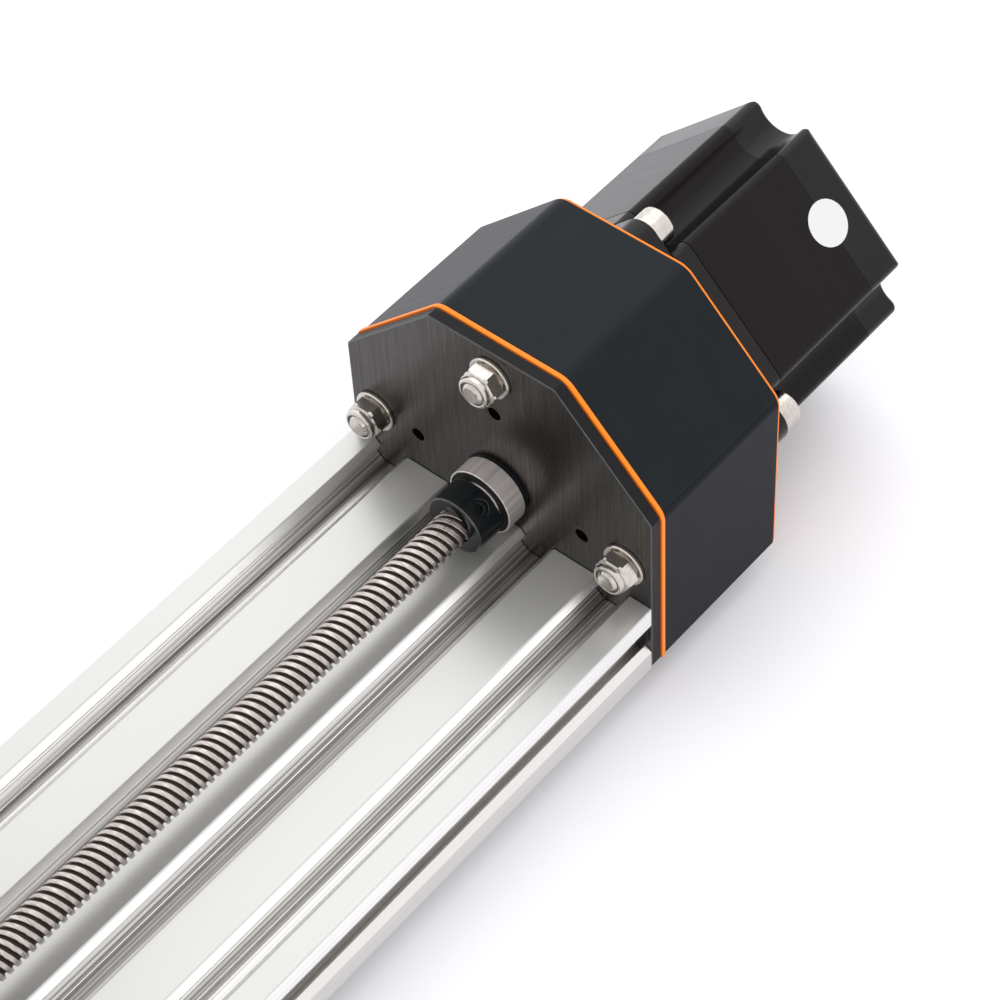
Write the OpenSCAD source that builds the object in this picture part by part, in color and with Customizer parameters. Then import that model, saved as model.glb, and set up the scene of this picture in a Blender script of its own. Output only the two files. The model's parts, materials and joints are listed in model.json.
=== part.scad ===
// Lead screw linear module: a V-slot beam with a screw above it, a motor behind a coupler
// housing at one end, an idler bearing at the other, and a carriage on four V wheels.
// Millimetres. X runs across the beam, Y along it towards the motor, Z up.
// The origin is the middle of the beam's underside.

/* [Beam] */
// Length of the beam
beam_l = 250; // [220:10:600]
// Number of slots side by side on the top and on the bottom
slot_columns = 4; // [4:1:6]
// Thickness of the beam, and the pitch of its slots
slot_pitch = 20; // [20:0.5:22]
// Width of a V-slot at the surface
slot_mouth_w = 9.16; // [8.8:0.02:9.4]
// Width of the slot's straight neck
slot_neck_w = 6.2; // [5.8:0.1:6.6]
// Thickness of the lips that hold a T-nut
slot_lip_t = 1.8; // [1.7:0.1:2.4]
// Width of the T-shaped cavity behind the lips
slot_cavity_w = 11; // [10:0.2:11.4]
// Depth of a slot from the surface to its floor
slot_depth = 6.1; // [5.6:0.1:6.2]
// Height of the upright sides of a slot's cavity
slot_side_h = 1.4; // [1:0.1:1.8]
// Thickness of the webs inside the beam
web_t = 1.5; // [1.2:0.1:1.8]

/* [Drive end] */
// Height of the screw's axis above the beam's top face
axis_rise = 9.75; // [9.5:0.25:12]
// Height of the drive end plate above the screw's axis
plate_rise = 40.25; // [38.5:0.25:44]
// Thickness of both end plates
plate_t = 3; // [2.5:0.5:4]
// Size of the 45 degree chamfers on the drive end's upper corners
end_chamfer = 23.8; // [20:0.2:24]
// Thickness of the orange front liner
front_liner_t = 1.2; // [1:0.1:2]
// How far the front liner stands proud of the housing
liner_proud = 0.3; // [0:0.1:0.6]
// Thickness of the orange rear liner
rear_liner_t = 0.6; // [0.4:0.1:2]
// How far the rear liner lies back from the housing's sides
liner_recess = 0.3; // [0:0.1:0.6]
// Length of the coupler housing
housing_l = 37.7; // [35:0.1:46]
// Wall of the coupler housing
housing_wall = 4; // [3:0.25:4.5]
// Radius on the long corners of the housing and its liners
housing_corner_r = 5; // [2:0.5:6]
// Radius on the housing's inner corners
housing_inner_r = 4; // [2:0.5:5]
// Diameter of the bosses inside the housing, round the motor's bolts
boss_d = 12; // [11:0.5:13]
// Radius on the corners of both end plates
plate_corner_r = 1; // [0.5:0.25:2]
// Diameter of the small accessory holes round the screw
accessory_hole_d = 3.2; // [2.5:0.1:4]
// Distance of the accessory holes from the screw's axis
accessory_hole_r = 21.92; // [20:0.02:23]

/* [Idler end] */
// Height of the idler plate above the screw's axis
idler_rise = 14; // [12:0.5:16]

/* [Motor] */
// Width across the motor's flats
motor_w = 56.4; // [56:0.1:57]
// Distance of the motor's bolts from the flange's edges
flange_edge = 4.63; // [4.4:0.01:4.9]
// Thickness of the motor's flange
flange_t = 6; // [5:0.25:7]
// Length of the front bell with its flange
front_bell_l = 11; // [10:0.5:13]
// Length of the stack of laminations
stack_l = 32; // [28:1:70]
// Length of the rear bell
rear_bell_l = 10.5; // [10:0.5:14]
// Radius of the channel that each bolt runs in
channel_r = 5.8; // [5.4:0.1:6.2]
// Radius on the ridges beside each channel
ridge_r = 2; // [1:0.25:2.5]
// Radius on the rear edges of the motor
rear_edge_r = 2; // [1:0.25:3]
// Diameter of the spigot that centres the motor
spigot_d = 38.1; // [36:0.1:40]
// Height of the spigot
spigot_h = 1.6; // [1:0.1:2]
// Diameter of the motor's shaft
shaft_d = 6.35; // [5:0.05:8]
// Length of the shaft in front of the flange
shaft_reach = 21; // [20:0.5:22]
// Thickness of the ring of windings
winding_t = 7.2; // [4:0.1:9]
// Gap between the rotor and the stack
air_gap = 0.3; // [0.2:0.05:0.5]
// Diameter of the bare white label
label_d = 10.4; // [8:0.2:14]

/* [Screw] */
// Outer diameter of the lead screw
screw_d = 8; // [7:0.5:8]
// Gap between the screw's end and the motor's shaft, inside the coupling
shaft_gap = 1; // [0.5:0.25:2]
// How far the screw stands out of the idler collar
screw_tail = 4; // [2:0.5:8]
// Outer diameter of the screw's bearings
bearing_d = 16; // [15:0.5:17]
// Width of one bearing
bearing_w = 5; // [4:0.5:6]
// Thickness of shims and spacer rings
shim_t = 1; // [0.5:0.25:1.5]
// Diameter of the lock collars
collar_d = 14; // [13:0.5:15]
// Width of the lock collars
collar_w = 7; // [6:0.5:9]
// Diameter of the collars' set screws
set_screw_d = 4; // [3:0.5:4]
// Angle of the set screws above the horizontal
set_screw_angle = 52; // [0:1:90]
// Diameter of the shaft coupling
coupling_d = 19; // [18:0.5:24]
// Length of the shaft coupling
coupling_l = 25; // [24:0.5:28]

/* [Carriage] */
// Distance from a wheel's axle to the gantry plate's end
gantry_end = 15; // [12:0.5:20]
// Distance from a wheel's axle to the gantry plate's side
gantry_side = 13; // [11:0.5:20]
// Thickness of the gantry plate
gantry_t = 3; // [3:0.5:6]
// Radius on the gantry plate's corners
gantry_corner_r = 8; // [3:0.5:12]
// Distance between a side's two wheels
wheel_base = 60; // [50:1:60]
// Distance between the gantry plate and the idler plate at rest
parked_gap = 6; // [4:1:60]
// Width of the nut block
nut_w = 34; // [32:0.5:38]
// Length of the nut block
nut_l = 33; // [30:0.5:40]
// Height of the nut block above the screw's axis
nut_above = 9; // [8.75:0.25:12]
// Depth of the nut block below the screw's axis
nut_below = 8.25; // [7:0.25:9]
// Distance of the nut block's screws from its sides
nut_screw_inset = 6; // [4.5:0.25:7]
// Length of the nut block's screws inside the block
nut_screw_grip = 7; // [6:0.5:8]
// Spacing of the payload holes across the beam
payload_x = 70; // [60:1:74]
// Spacing of the payload holes along the beam
payload_y = 66; // [50:1:70]

/* [Wheels] */
// Outer diameter of a V wheel
wheel_d = 23.9; // [23:0.1:25]
// Width of a V wheel
wheel_w = 10.2; // [10:0.1:10.6]
// Depth that a wheel's edge reaches into the slot
wheel_bite = 2.12; // [1.6:0.02:2.3]
// Offset of the eccentric spacers' bore
eccentric_offset = 0.8; // [0.4:0.1:1]
// Height of the eccentric spacers' hexagon
eccentric_h = 6.35; // [5:0.05:8]

/* [Fasteners] */
// Thread diameter of the larger screws
bolt_d = 5; // [4.5:0.1:5]
// Length of the motor's bolts
motor_bolt_l = 55; // [54.5:0.5:58]
// Length of the wheels' bolts
wheel_bolt_l = 45; // [44:0.5:50]
// Length of the screws in the beam's ends
end_screw_l = 16; // [12:1:25]
// Diameter of the washers
washer_d = 10; // [9:0.5:10]
// Thickness of the washers
washer_t = 1; // [0.5:0.25:1.5]
// Width across the flats of the lock nuts
nut_flats = 8; // [7.5:0.5:8.5]
// Height of the lock nuts
nut_h = 5; // [4.5:0.25:6]

/* [Clearances] */
// Radial play of a part that turns on another
running_gap = 0.05; // [0.02:0.01:0.09]
// Radial play of a screw in its hole
hole_gap = 0.1; // [0.05:0.05:0.25]
// Gap between a wheel's flanks and the slot
flank_gap = 0.3; // [0.2:0.05:0.4]
// Gap between pieces that move past each other
moving_gap = 0.3; // [0.25:0.05:0.5]

/* [Hidden] */
$fn = 64;

// The beam's section, and heights
beam_w = slot_columns * slot_pitch;
beam_h = slot_pitch;
axis_z = beam_h + axis_rise;
gantry_z = axis_z + nut_above;
wheel_z = beam_h / 2;

// Places along the beam, counted from the middle of its length
drive_y = beam_l / 2;
idler_y = -beam_l / 2;
housing_y = drive_y + plate_t + front_liner_t;
motor_y = housing_y + housing_l + rear_liner_t;
motor_l = front_bell_l + stack_l + rear_bell_l;
motor_bolt_ring_r = (motor_w / 2 - flange_edge) * sqrt(2);
gantry_l = wheel_base + 2 * gantry_end;
gantry_y = idler_y + parked_gap + gantry_l / 2;

// Bearings: bore radius, outer radius, width
screw_bearing = [screw_d / 2, bearing_d / 2, bearing_w];
wheel_bearing = [bolt_d / 2, bearing_d / 2, bearing_w];
rear_bearing_y = drive_y;
front_bearing_y = drive_y - shim_t - bearing_w;
idler_bearing_y = idler_y - plate_t - shim_t;
drive_collar_y = front_bearing_y - shim_t - collar_w;
idler_collar_y = idler_bearing_y - shim_t - collar_w;
shaft_tip_y = motor_y - shaft_reach;
screw_end_y = shaft_tip_y - shaft_gap;
coupling_y = (screw_end_y + shaft_tip_y - coupling_l) / 2;
screw_tip_y = idler_collar_y - screw_tail;

// Wheels
wheel_x = beam_w / 2 + wheel_d / 2 - wheel_bite;
gantry_w = 2 * (wheel_x + gantry_side);
wheel_stack_h = 2 * bearing_w + shim_t;
wheel_tip_half_w = slot_mouth_w / 2 - wheel_bite - flank_gap * sqrt(2);
wheel_shoulder_r = wheel_d / 2 - wheel_bite - flank_gap;
spacer_z = wheel_z + wheel_stack_h / 2 + shim_t;
wheel_spots = [
    for (side = [-1, 1], end = [1, -1])
        [side * wheel_x, gantry_y + end * wheel_base / 2]
];

// Fasteners
head_r = 0.85 * bolt_d;
button_r = 0.95 * bolt_d;
button_h = 0.55 * bolt_d;
socket_r = 0.46 * bolt_d;
socket_depth = 0.5 * bolt_d;
button_rim = 0.15 * bolt_d;
motor_bolt_angles = [0, 90, 180];

// Motor's inside
quarter_turns = [45 : 90 : 315];
motor_end_wall = 1.5;
motor_bearing_r = 9.5;
motor_bearing_w = 6;
case_screw_r = 1.5;
case_head_r = 2.6;
case_head_h = 2;
case_head_wall = 0.4;
case_screw_ring_r = motor_bolt_ring_r - channel_r - case_head_r - case_head_wall;
winding_room = 0.5;
winding_r = case_screw_ring_r - case_screw_r - 2 * winding_room;
rotor_r = winding_r - winding_t - air_gap;

// Shaft coupling
coupling_clamp_l = 5;
clamp_screw_r = 1.25;
clamp_head_r = 2.3;
clamp_screw_x = coupling_d / 2 - clamp_head_r - 0.3;
clamp_screw_half_l = coupling_d / 2 - 3;

// How far a cut runs past the surface that it opens
past = 1;

// Colours
black_anodised = [0.16, 0.16, 0.17];
satin_aluminium = [0.86, 0.87, 0.88];
bright_steel = [0.78, 0.78, 0.78];
black_steel = [0.12, 0.13, 0.15];
orange_sheet = [0.95, 0.5, 0.12];
motor_black = [0.2, 0.19, 0.19];
lamination = [0.26, 0.24, 0.23];
copper = [0.75, 0.42, 0.24];
white_plastic = [0.93, 0.94, 0.94];
black_plastic = [0.1, 0.1, 0.11];

// ---------------------------------------------------------------- outlines

function unit(v) = v / norm(v);

// Points of an arc about c, from angle a0 to a1.
function arc(c, r, a0, a1, steps = 8) =
    [for (i = [0 : steps]) let (a = a0 + (a1 - a0) * i / steps) c + r * [cos(a), sin(a)]];

// Points that round the corner p, between its neighbours a and b.
function corner(a, p, b, r, steps = 8) =
    let (
        u = unit(a - p),
        v = unit(b - p),
        half = acos(u * v) / 2,
        c = p + unit(u + v) * r / sin(half),
        start = p + u * r / tan(half) - c,
        stop = p + v * r / tan(half) - c,
        a0 = atan2(start[1], start[0]),
        turn = (atan2(stop[1], stop[0]) - a0 + 540) % 360 - 180
    )
    arc(c, r, a0, a0 + turn, steps);

// A polygon's points with every corner rounded by its own radius.
function rounded(points, radii) =
    let (n = len(points))
    [
        for (i = [0 : n - 1])
            each radii[i] > 0
                ? corner(points[(i + n - 1) % n], points[i], points[(i + 1) % n], radii[i])
                : [points[i]]
    ];

// The drive end's outline: a flat foot, upright sides and 45 degree shoulders.
function end_outline(half_w, low, high, chamfer, top_r, foot_r) =
    rounded(
        [
            [-half_w, low], [half_w, low], [half_w, high - chamfer], [half_w - chamfer, high],
            [chamfer - half_w, high], [-half_w, high - chamfer]
        ],
        [foot_r, foot_r, top_r, top_r, top_r, top_r]
    );

// One eighth of the motor's outline, from the middle of a flat to the middle of a channel.
// The ridge's arc touches the flat and the channel's arc.
function motor_eighth() =
    let (
        bolt = motor_bolt_ring_r / sqrt(2),
        ridge_x = motor_w / 2 - ridge_r,
        ridge_y = bolt - sqrt(pow(channel_r + ridge_r, 2) - pow(bolt - ridge_x, 2)),
        meet = atan2(bolt - ridge_y, bolt - ridge_x)
    )
    concat(
        arc([ridge_x, ridge_y], ridge_r, 0, meet),
        arc([bolt, bolt], channel_r, meet + 180, 225)
    );

// Mirror a list of points in the diagonal, and run it backwards.
function across_diagonal(points) =
    [for (i = [len(points) - 1 : -1 : 0]) [points[i][1], points[i][0]]];

function motor_outline() =
    let (quarter = concat(motor_eighth(), across_diagonal(motor_eighth())))
    [
        for (turn = [0 : 90 : 270], p = quarter)
            [p[0] * cos(turn) - p[1] * sin(turn), p[0] * sin(turn) + p[1] * cos(turn)]
    ];

// ---------------------------------------------------------------- helpers

// Extrude an outline drawn in X and Z along the beam, from y0 to y1.
module along_y(y0, y1) {
    translate([0, y1, 0]) rotate([90, 0, 0]) linear_extrude(y1 - y0) children();
}

// A round rod along the beam, on the axis at x and z.
module rod_y(y0, y1, r, x = 0, z = 0) {
    translate([x, y0, z]) rotate([-90, 0, 0]) cylinder(h = y1 - y0, r = r);
}

// A ring along the beam, on the screw's axis.
module ring_y(y0, y1, outer_r, inner_r) {
    translate([0, y0, axis_z]) rotate([-90, 0, 0]) ring(y1 - y0, outer_r, inner_r);
}

// A ring that stands on the plane z = 0.
module ring(h, outer_r, inner_r) {
    rotate_extrude() translate([inner_r, 0]) square([outer_r - inner_r, h]);
}

// Children drawn along +Z are laid on the screw's axis, pointing to +Y, from y.
module on_axis(y) {
    translate([0, y, axis_z]) rotate([-90, 0, 0]) children();
}

// Children drawn about the motor's axis are put at each of its bolts in use.
module at_motor_bolts() {
    for (a = motor_bolt_angles)
        translate([motor_bolt_ring_r * cos(a), 0, axis_z + motor_bolt_ring_r * sin(a)]) children();
}

// Children are put at each core of the beam.
module at_cores() {
    for (x = [slot_pitch / 2 - beam_w / 2 : slot_pitch : beam_w / 2])
        translate([x, 0, beam_h / 2]) children();
}

// Children are put at each wheel's axle.
module at_wheels() {
    for (spot = wheel_spots)
        translate([spot[0], spot[1], 0]) children();
}

// A cap screw along +Z: its head ends at z = 0, and its shank runs up from there.
module cap_screw(length) {
    difference() {
        union() {
            translate([0, 0, -bolt_d]) cylinder(h = bolt_d, r = head_r);
            cylinder(h = length, r = bolt_d / 2);
        }
        translate([0, 0, -bolt_d - past]) cylinder(h = socket_depth + past, r = socket_r, $fn = 6);
    }
}

// A low domed screw along +Z, seated the same way. Its dome is part of a ball.
module button_screw(length) {
    dome_h = button_h - button_rim;
    dome_r = (pow(button_r, 2) + pow(dome_h, 2)) / (2 * dome_h);
    key_depth = 0.6 * button_h;
    difference() {
        union() {
            intersection() {
                translate([0, 0, -button_h]) cylinder(h = button_h, r = button_r);
                translate([0, 0, dome_r - button_h]) sphere(r = dome_r);
            }
            cylinder(h = length, r = bolt_d / 2);
        }
        translate([0, 0, -button_h - past]) cylinder(h = key_depth + past, r = 0.3 * bolt_d, $fn = 6);
    }
}

// A lock nut along +Z: its hexagon is at the bottom and its nylon collar on top.
module lock_nut() {
    hex_h = 0.72 * nut_h;
    nylon_r = 0.46 * nut_flats;
    difference() {
        union() {
            cylinder(h = hex_h, r = nut_flats / sqrt(3), $fn = 6);
            cylinder(h = nut_h, r = nylon_r);
        }
        translate([0, 0, -past]) cylinder(h = nut_h + 2 * past, r = bolt_d / 2 + hole_gap / 2);
    }
}

module washer() {
    ring(washer_t, washer_d / 2, bolt_d / 2 + hole_gap);
}

// A ball bearing along +Z, as its separate pieces. b is bore radius, outer radius, width.
function race_t(b) = (b[1] - b[0]) / 4;
function ball_ring_r(b) = (b[0] + b[1]) / 2;
function ball_r(b) = 1.1 * race_t(b);
function ball_count(b) = floor(180 / asin(1.2 * ball_r(b) / ball_ring_r(b)));

module bearing_ring(b, inner_r, outer_r) {
    rotate_extrude()
        difference() {
            translate([inner_r, 0]) square([outer_r - inner_r, b[2]]);
            translate([ball_ring_r(b), b[2] / 2]) circle(r = ball_r(b) + running_gap);
        }
}

module bearing_outer_ring(b) {
    bearing_ring(b, b[1] - race_t(b), b[1]);
}

module bearing_inner_ring(b) {
    bearing_ring(b, b[0], b[0] + race_t(b));
}

module bearing_shields(b) {
    shield_t = 0.3;
    for (z = [shield_t, b[2] - 2 * shield_t])
        translate([0, 0, z]) ring(shield_t, b[1] - race_t(b), b[0] + race_t(b) + moving_gap);
}

module bearing_balls(b) {
    count = ball_count(b);
    for (i = [0 : count - 1])
        rotate([0, 0, 360 * i / count])
            translate([ball_ring_r(b), 0, b[2] / 2]) sphere(r = ball_r(b), $fn = 24);
}

// ---------------------------------------------------------------- beam

// A V-slot, cut downwards from the surface at the origin.
module slot_shape() {
    neck_top = (slot_mouth_w - slot_neck_w) / 2;
    taper = slot_depth - slot_lip_t - slot_side_h;
    polygon([
        [-slot_mouth_w / 2 - past, past], [slot_mouth_w / 2 + past, past],
        [slot_neck_w / 2, -neck_top], [slot_neck_w / 2, -slot_lip_t],
        [slot_cavity_w / 2, -slot_lip_t], [slot_cavity_w / 2, taper - slot_depth],
        [slot_cavity_w / 2 - taper, -slot_depth], [taper - slot_cavity_w / 2, -slot_depth],
        [-slot_cavity_w / 2, taper - slot_depth], [-slot_cavity_w / 2, -slot_lip_t],
        [-slot_neck_w / 2, -slot_lip_t], [-slot_neck_w / 2, -neck_top]
    ]);
}

// The hollow between two cores, shaped by webs of one thickness.
module chamber_shape() {
    taper = slot_depth - slot_lip_t - slot_side_h;
    neck = (slot_pitch - slot_cavity_w) / 2 - web_t;
    top = slot_pitch / 2 - slot_lip_t;
    shoulder = top - slot_side_h - web_t * (sqrt(2) - 1);
    waist = neck + taper;
    quarter = [[waist, 0], [waist, shoulder - taper], [neck, shoulder], [neck, top]];
    for (side = [0, 1], end = [0, 1])
        mirror([side, 0]) mirror([0, end]) polygon(concat(quarter, [[0, top], [0, 0]]));
}

module beam_section() {
    first = slot_pitch / 2 - beam_w / 2;
    difference() {
        square([beam_w, beam_h], center = true);
        for (x = [first : slot_pitch : beam_w / 2]) {
            translate([x, 0]) circle(d = bolt_d);
            translate([x, beam_h / 2]) slot_shape();
            translate([x, -beam_h / 2]) rotate(180) slot_shape();
        }
        for (side = [-1, 1])
            translate([side * beam_w / 2, 0]) rotate(-90 * side) slot_shape();
        for (x = [first + slot_pitch / 2 : slot_pitch : beam_w / 2 - slot_pitch])
            translate([x, 0]) chamber_shape();
    }
}

module beam() {
    color(satin_aluminium)
        translate([0, 0, beam_h / 2]) along_y(idler_y, drive_y) beam_section();
}

// ---------------------------------------------------------------- drive end

// Holes from y0 to y1 for the motor's bolts.
module bolt_holes(y0, y1) {
    for (a = motor_bolt_angles)
        rod_y(y0 - past, y1 + past, bolt_d / 2 + hole_gap,
            motor_bolt_ring_r * cos(a), axis_z + motor_bolt_ring_r * sin(a));
}

// Small holes from y0 to y1 for a limit switch or a bracket.
module accessory_holes(y0, y1) {
    for (a = motor_bolt_angles)
        rod_y(y0 - past, y1 + past, accessory_hole_d / 2,
            accessory_hole_r * cos(a), axis_z + accessory_hole_r * sin(a));
}

// A hole on the screw's axis, from y0 to y1.
module axis_hole(y0, y1, r) {
    rod_y(y0 - past, y1 + past, r, 0, axis_z);
}

// Holes at the beam's cores, from y0 to y1.
module core_holes(y0, y1, r) {
    at_cores() rod_y(y0 - past, y1 + past, r);
}

// The drive end's outline, grown by a margin at the sides and the top.
module drive_outline(corner_r, margin = 0) {
    polygon(end_outline(beam_w / 2 + margin, 0, axis_z + plate_rise + margin,
        end_chamfer, corner_r, plate_corner_r));
}

module drive_end_plate() {
    y1 = drive_y + plate_t;
    color(black_anodised)
        difference() {
            along_y(drive_y, y1) drive_outline(plate_corner_r);
            axis_hole(drive_y, y1, bearing_d / 2);
            bolt_holes(drive_y, y1);
            accessory_holes(drive_y, y1);
            core_holes(drive_y, y1, bolt_d / 2 + hole_gap);
        }
}

module drive_plate_screws() {
    color(black_steel)
        at_cores() translate([0, drive_y + plate_t, 0]) rotate([90, 0, 0]) button_screw(end_screw_l);
}

// The housing's hollow: its outline moved in by the wall, less the bosses for the long bolts.
// Each boss is round towards the middle, and grows straight out into the wall.
module housing_hollow() {
    wall = housing_wall;
    difference() {
        polygon(end_outline(beam_w / 2 - wall, wall, axis_z + plate_rise - wall,
            end_chamfer - wall * (2 - sqrt(2)), housing_inner_r, plate_corner_r));
        for (a = motor_bolt_angles)
            translate([motor_bolt_ring_r * cos(a), axis_z + motor_bolt_ring_r * sin(a)]) {
                circle(d = boss_d);
                rotate(a) translate([0, -boss_d / 2]) square([beam_w, boss_d]);
            }
    }
}

module coupler_housing() {
    y1 = housing_y + housing_l;
    color(black_anodised)
        difference() {
            along_y(housing_y, y1)
                difference() {
                    drive_outline(housing_corner_r);
                    housing_hollow();
                }
            bolt_holes(housing_y, y1);
        }
}

// A liner covers the housing's whole end. Its sides and top stand proud by a margin, or lie back.
module liner(y0, y1, margin) {
    difference() {
        along_y(y0, y1) drive_outline(housing_corner_r, margin);
        bolt_holes(y0, y1);
    }
}

module front_liner() {
    y0 = drive_y + plate_t;
    color(orange_sheet)
        difference() {
            liner(y0, housing_y, liner_proud);
            axis_hole(y0, housing_y, bearing_d / 2 + moving_gap);
            accessory_holes(y0, housing_y);
            core_holes(y0, housing_y, button_r + hole_gap);
        }
}

module rear_liner() {
    y0 = housing_y + housing_l;
    color(orange_sheet)
        difference() {
            liner(y0, motor_y, -liner_recess);
            axis_hole(y0, motor_y, spigot_d / 2 + hole_gap);
        }
}

// ---------------------------------------------------------------- motor

// Children drawn about the motor's axis along +Z are laid on it, a quarter turn over two.
module in_motor(distance) {
    translate([0, motor_y + distance, axis_z]) rotate([-90, 45, 0]) children();
}

// The motor's channelled section.
module motor_bar(length) {
    linear_extrude(length) polygon(motor_outline());
}

// Rods for the screws that hold the motor's case together.
module case_screw_rods(length, r, sides = $fn) {
    for (a = quarter_turns)
        rotate([0, 0, a]) translate([case_screw_ring_r, 0, 0]) cylinder(h = length, r = r, $fn = sides);
}

// The front bell: a square flange with a spigot, then the channelled body with its pockets.
module motor_front_bell() {
    ear_r = flange_edge;
    flange = [for (s = [[-1, -1], [1, -1], [1, 1], [-1, 1]]) s * motor_w / 2];
    winding_z = motor_end_wall + motor_bearing_w;
    color(motor_black)
        in_motor(0)
            difference() {
                union() {
                    translate([0, 0, -spigot_h]) cylinder(h = spigot_h, d = spigot_d);
                    linear_extrude(flange_t) polygon(rounded(flange, [ear_r, ear_r, ear_r, ear_r]));
                    motor_bar(front_bell_l);
                }
                translate([0, 0, -spigot_h - past])
                    cylinder(h = front_bell_l, r = shaft_d / 2 + moving_gap);
                translate([0, 0, motor_end_wall]) cylinder(h = front_bell_l, r = motor_bearing_r);
                translate([0, 0, winding_z]) cylinder(h = front_bell_l, r = winding_r + winding_room);
                for (a = quarter_turns)
                    rotate([0, 0, a]) translate([motor_bolt_ring_r, 0, -past])
                        cylinder(h = flange_t + 2 * past, r = bolt_d / 2 + hole_gap);
                translate([0, 0, flange_t]) case_screw_rods(front_bell_l, case_screw_r);
            }
}

module motor_stack() {
    cut_l = stack_l + 2 * past;
    color(lamination)
        in_motor(front_bell_l)
            difference() {
                motor_bar(stack_l);
                translate([0, 0, -past]) cylinder(h = cut_l, r = rotor_r + air_gap);
                translate([0, 0, -past]) case_screw_rods(cut_l, case_screw_r);
            }
}

// The rear bell's back edges are rounded by two side profiles that cross.
module motor_rear_bell() {
    half = motor_w / 2;
    side = [[-half, -past], [half, -past], [half, rear_bell_l], [-half, rear_bell_l]];
    profile = rounded(side, [0, 0, rear_edge_r, rear_edge_r]);
    bearing_z = rear_bell_l - motor_end_wall;
    winding_z = bearing_z - motor_bearing_w;
    color(motor_black)
        in_motor(front_bell_l + stack_l)
            difference() {
                intersection() {
                    motor_bar(rear_bell_l);
                    translate([0, half, 0])
                        rotate([90, 0, 0]) linear_extrude(motor_w) polygon(profile);
                    translate([-half, 0, 0])
                        rotate([90, 0, 90]) linear_extrude(motor_w) polygon(profile);
                }
                translate([0, 0, -past]) cylinder(h = winding_z + past, r = winding_r + winding_room);
                cylinder(h = bearing_z, r = motor_bearing_r);
                translate([0, 0, -past]) case_screw_rods(rear_bell_l + 2 * past, case_screw_r);
                translate([0, 0, rear_bell_l - case_head_h])
                    case_screw_rods(case_head_h + past, case_head_r);
            }
}

module motor_windings() {
    ring_h = 2.5;
    color(copper)
        for (z = [front_bell_l - ring_h, front_bell_l + stack_l])
            in_motor(z) ring(ring_h, winding_r, rotor_r + air_gap);
}

module motor_bearings() {
    color(bright_steel)
        for (z = [motor_end_wall, motor_l - motor_end_wall - motor_bearing_w])
            in_motor(z) ring(motor_bearing_w, motor_bearing_r, shaft_d / 2 + running_gap);
}

// Each case screw's head lies just below the rear face, and its tip ends inside the front bell.
module motor_case_screws() {
    head_sink = 0.3;
    key_depth = 1.2;
    key_r = 1.1;
    head_top = case_head_h - head_sink;
    shank_l = motor_l - case_head_h - flange_t - past;
    color(black_steel)
        in_motor(motor_l - case_head_h)
            difference() {
                union() {
                    case_screw_rods(head_top, case_head_r - hole_gap);
                    translate([0, 0, -shank_l]) case_screw_rods(shank_l, case_screw_r - hole_gap / 2);
                }
                translate([0, 0, head_top - key_depth]) case_screw_rods(case_head_h, key_r, 6);
            }
}

// The socket for the motor's lead stands on the rear bell's lower left flat.
module motor_socket() {
    body = [16, 5, 7];
    wall = 1;
    inset = 1.5;
    hollow = [body[0] - 2 * wall, body[1], body[2] - 2 * wall];
    color(black_plastic)
        in_motor(front_bell_l + stack_l + inset)
            translate([-body[0] / 2, motor_w / 2, 0])
                difference() {
                    cube(body);
                    translate([wall, wall, wall]) cube(hollow);
                }
}

module motor_label() {
    label_t = 0.15;
    color(white_plastic)
        in_motor(front_bell_l + stack_l)
            translate([0, -motor_w / 2, 0]) rotate([90, 0, 0]) cylinder(h = label_t, d = label_d);
}

module motor_bolts() {
    color(bright_steel)
        at_motor_bolts()
            translate([0, motor_y + flange_t, 0]) rotate([90, 0, 0]) cap_screw(motor_bolt_l);
}

module motor_washers() {
    color(bright_steel)
        at_motor_bolts() translate([0, drive_y, 0]) rotate([90, 0, 0]) washer();
}

module motor_nuts() {
    color(bright_steel)
        at_motor_bolts() translate([0, drive_y - washer_t, 0]) rotate([90, 0, 0]) lock_nut();
}

// ---------------------------------------------------------------- bearings on the frame

module drive_bearings() {
    on_axis(front_bearing_y) children();
    on_axis(rear_bearing_y) children();
}

module drive_bearing_outer_rings() {
    color(bright_steel) drive_bearings() bearing_outer_ring(screw_bearing);
}

module drive_bearing_shields() {
    color(black_steel) drive_bearings() bearing_shields(screw_bearing);
}

module drive_bearing_balls() {
    color(bright_steel) drive_bearings() bearing_balls(screw_bearing);
}

module drive_bearing_spacer() {
    color(black_steel)
        ring_y(drive_y - shim_t, drive_y, bearing_d / 2, bearing_d / 2 - race_t(screw_bearing));
}

module idler_plate() {
    y0 = idler_y - plate_t;
    color(black_anodised)
        difference() {
            along_y(y0, idler_y)
                polygon(end_outline(beam_w / 2, 0, axis_z + idler_rise,
                    idler_rise, plate_corner_r, plate_corner_r));
            axis_hole(y0, idler_y, bearing_d / 2);
            core_holes(y0, idler_y, bolt_d / 2 + hole_gap);
        }
}

module idler_plate_screws() {
    color(black_steel)
        at_cores() translate([0, idler_y - plate_t, 0]) rotate([-90, 0, 0]) button_screw(end_screw_l);
}

module idler_bearing_outer_ring() {
    color(bright_steel) on_axis(idler_bearing_y) bearing_outer_ring(screw_bearing);
}

module idler_bearing_shields() {
    color(black_steel) on_axis(idler_bearing_y) bearing_shields(screw_bearing);
}

module idler_bearing_balls() {
    color(bright_steel) on_axis(idler_bearing_y) bearing_balls(screw_bearing);
}

// ---------------------------------------------------------------- what turns with the screw

module lead_screw() {
    end_chamfer_l = 0.8;
    length = screw_end_y - screw_tip_y;
    r = screw_d / 2;
    color(bright_steel)
        on_axis(screw_tip_y)
            rotate_extrude()
                polygon([
                    [0, 0], [r - end_chamfer_l, 0], [r, end_chamfer_l],
                    [r, length - end_chamfer_l], [r - end_chamfer_l, length], [0, length]
                ]);
}

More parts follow.
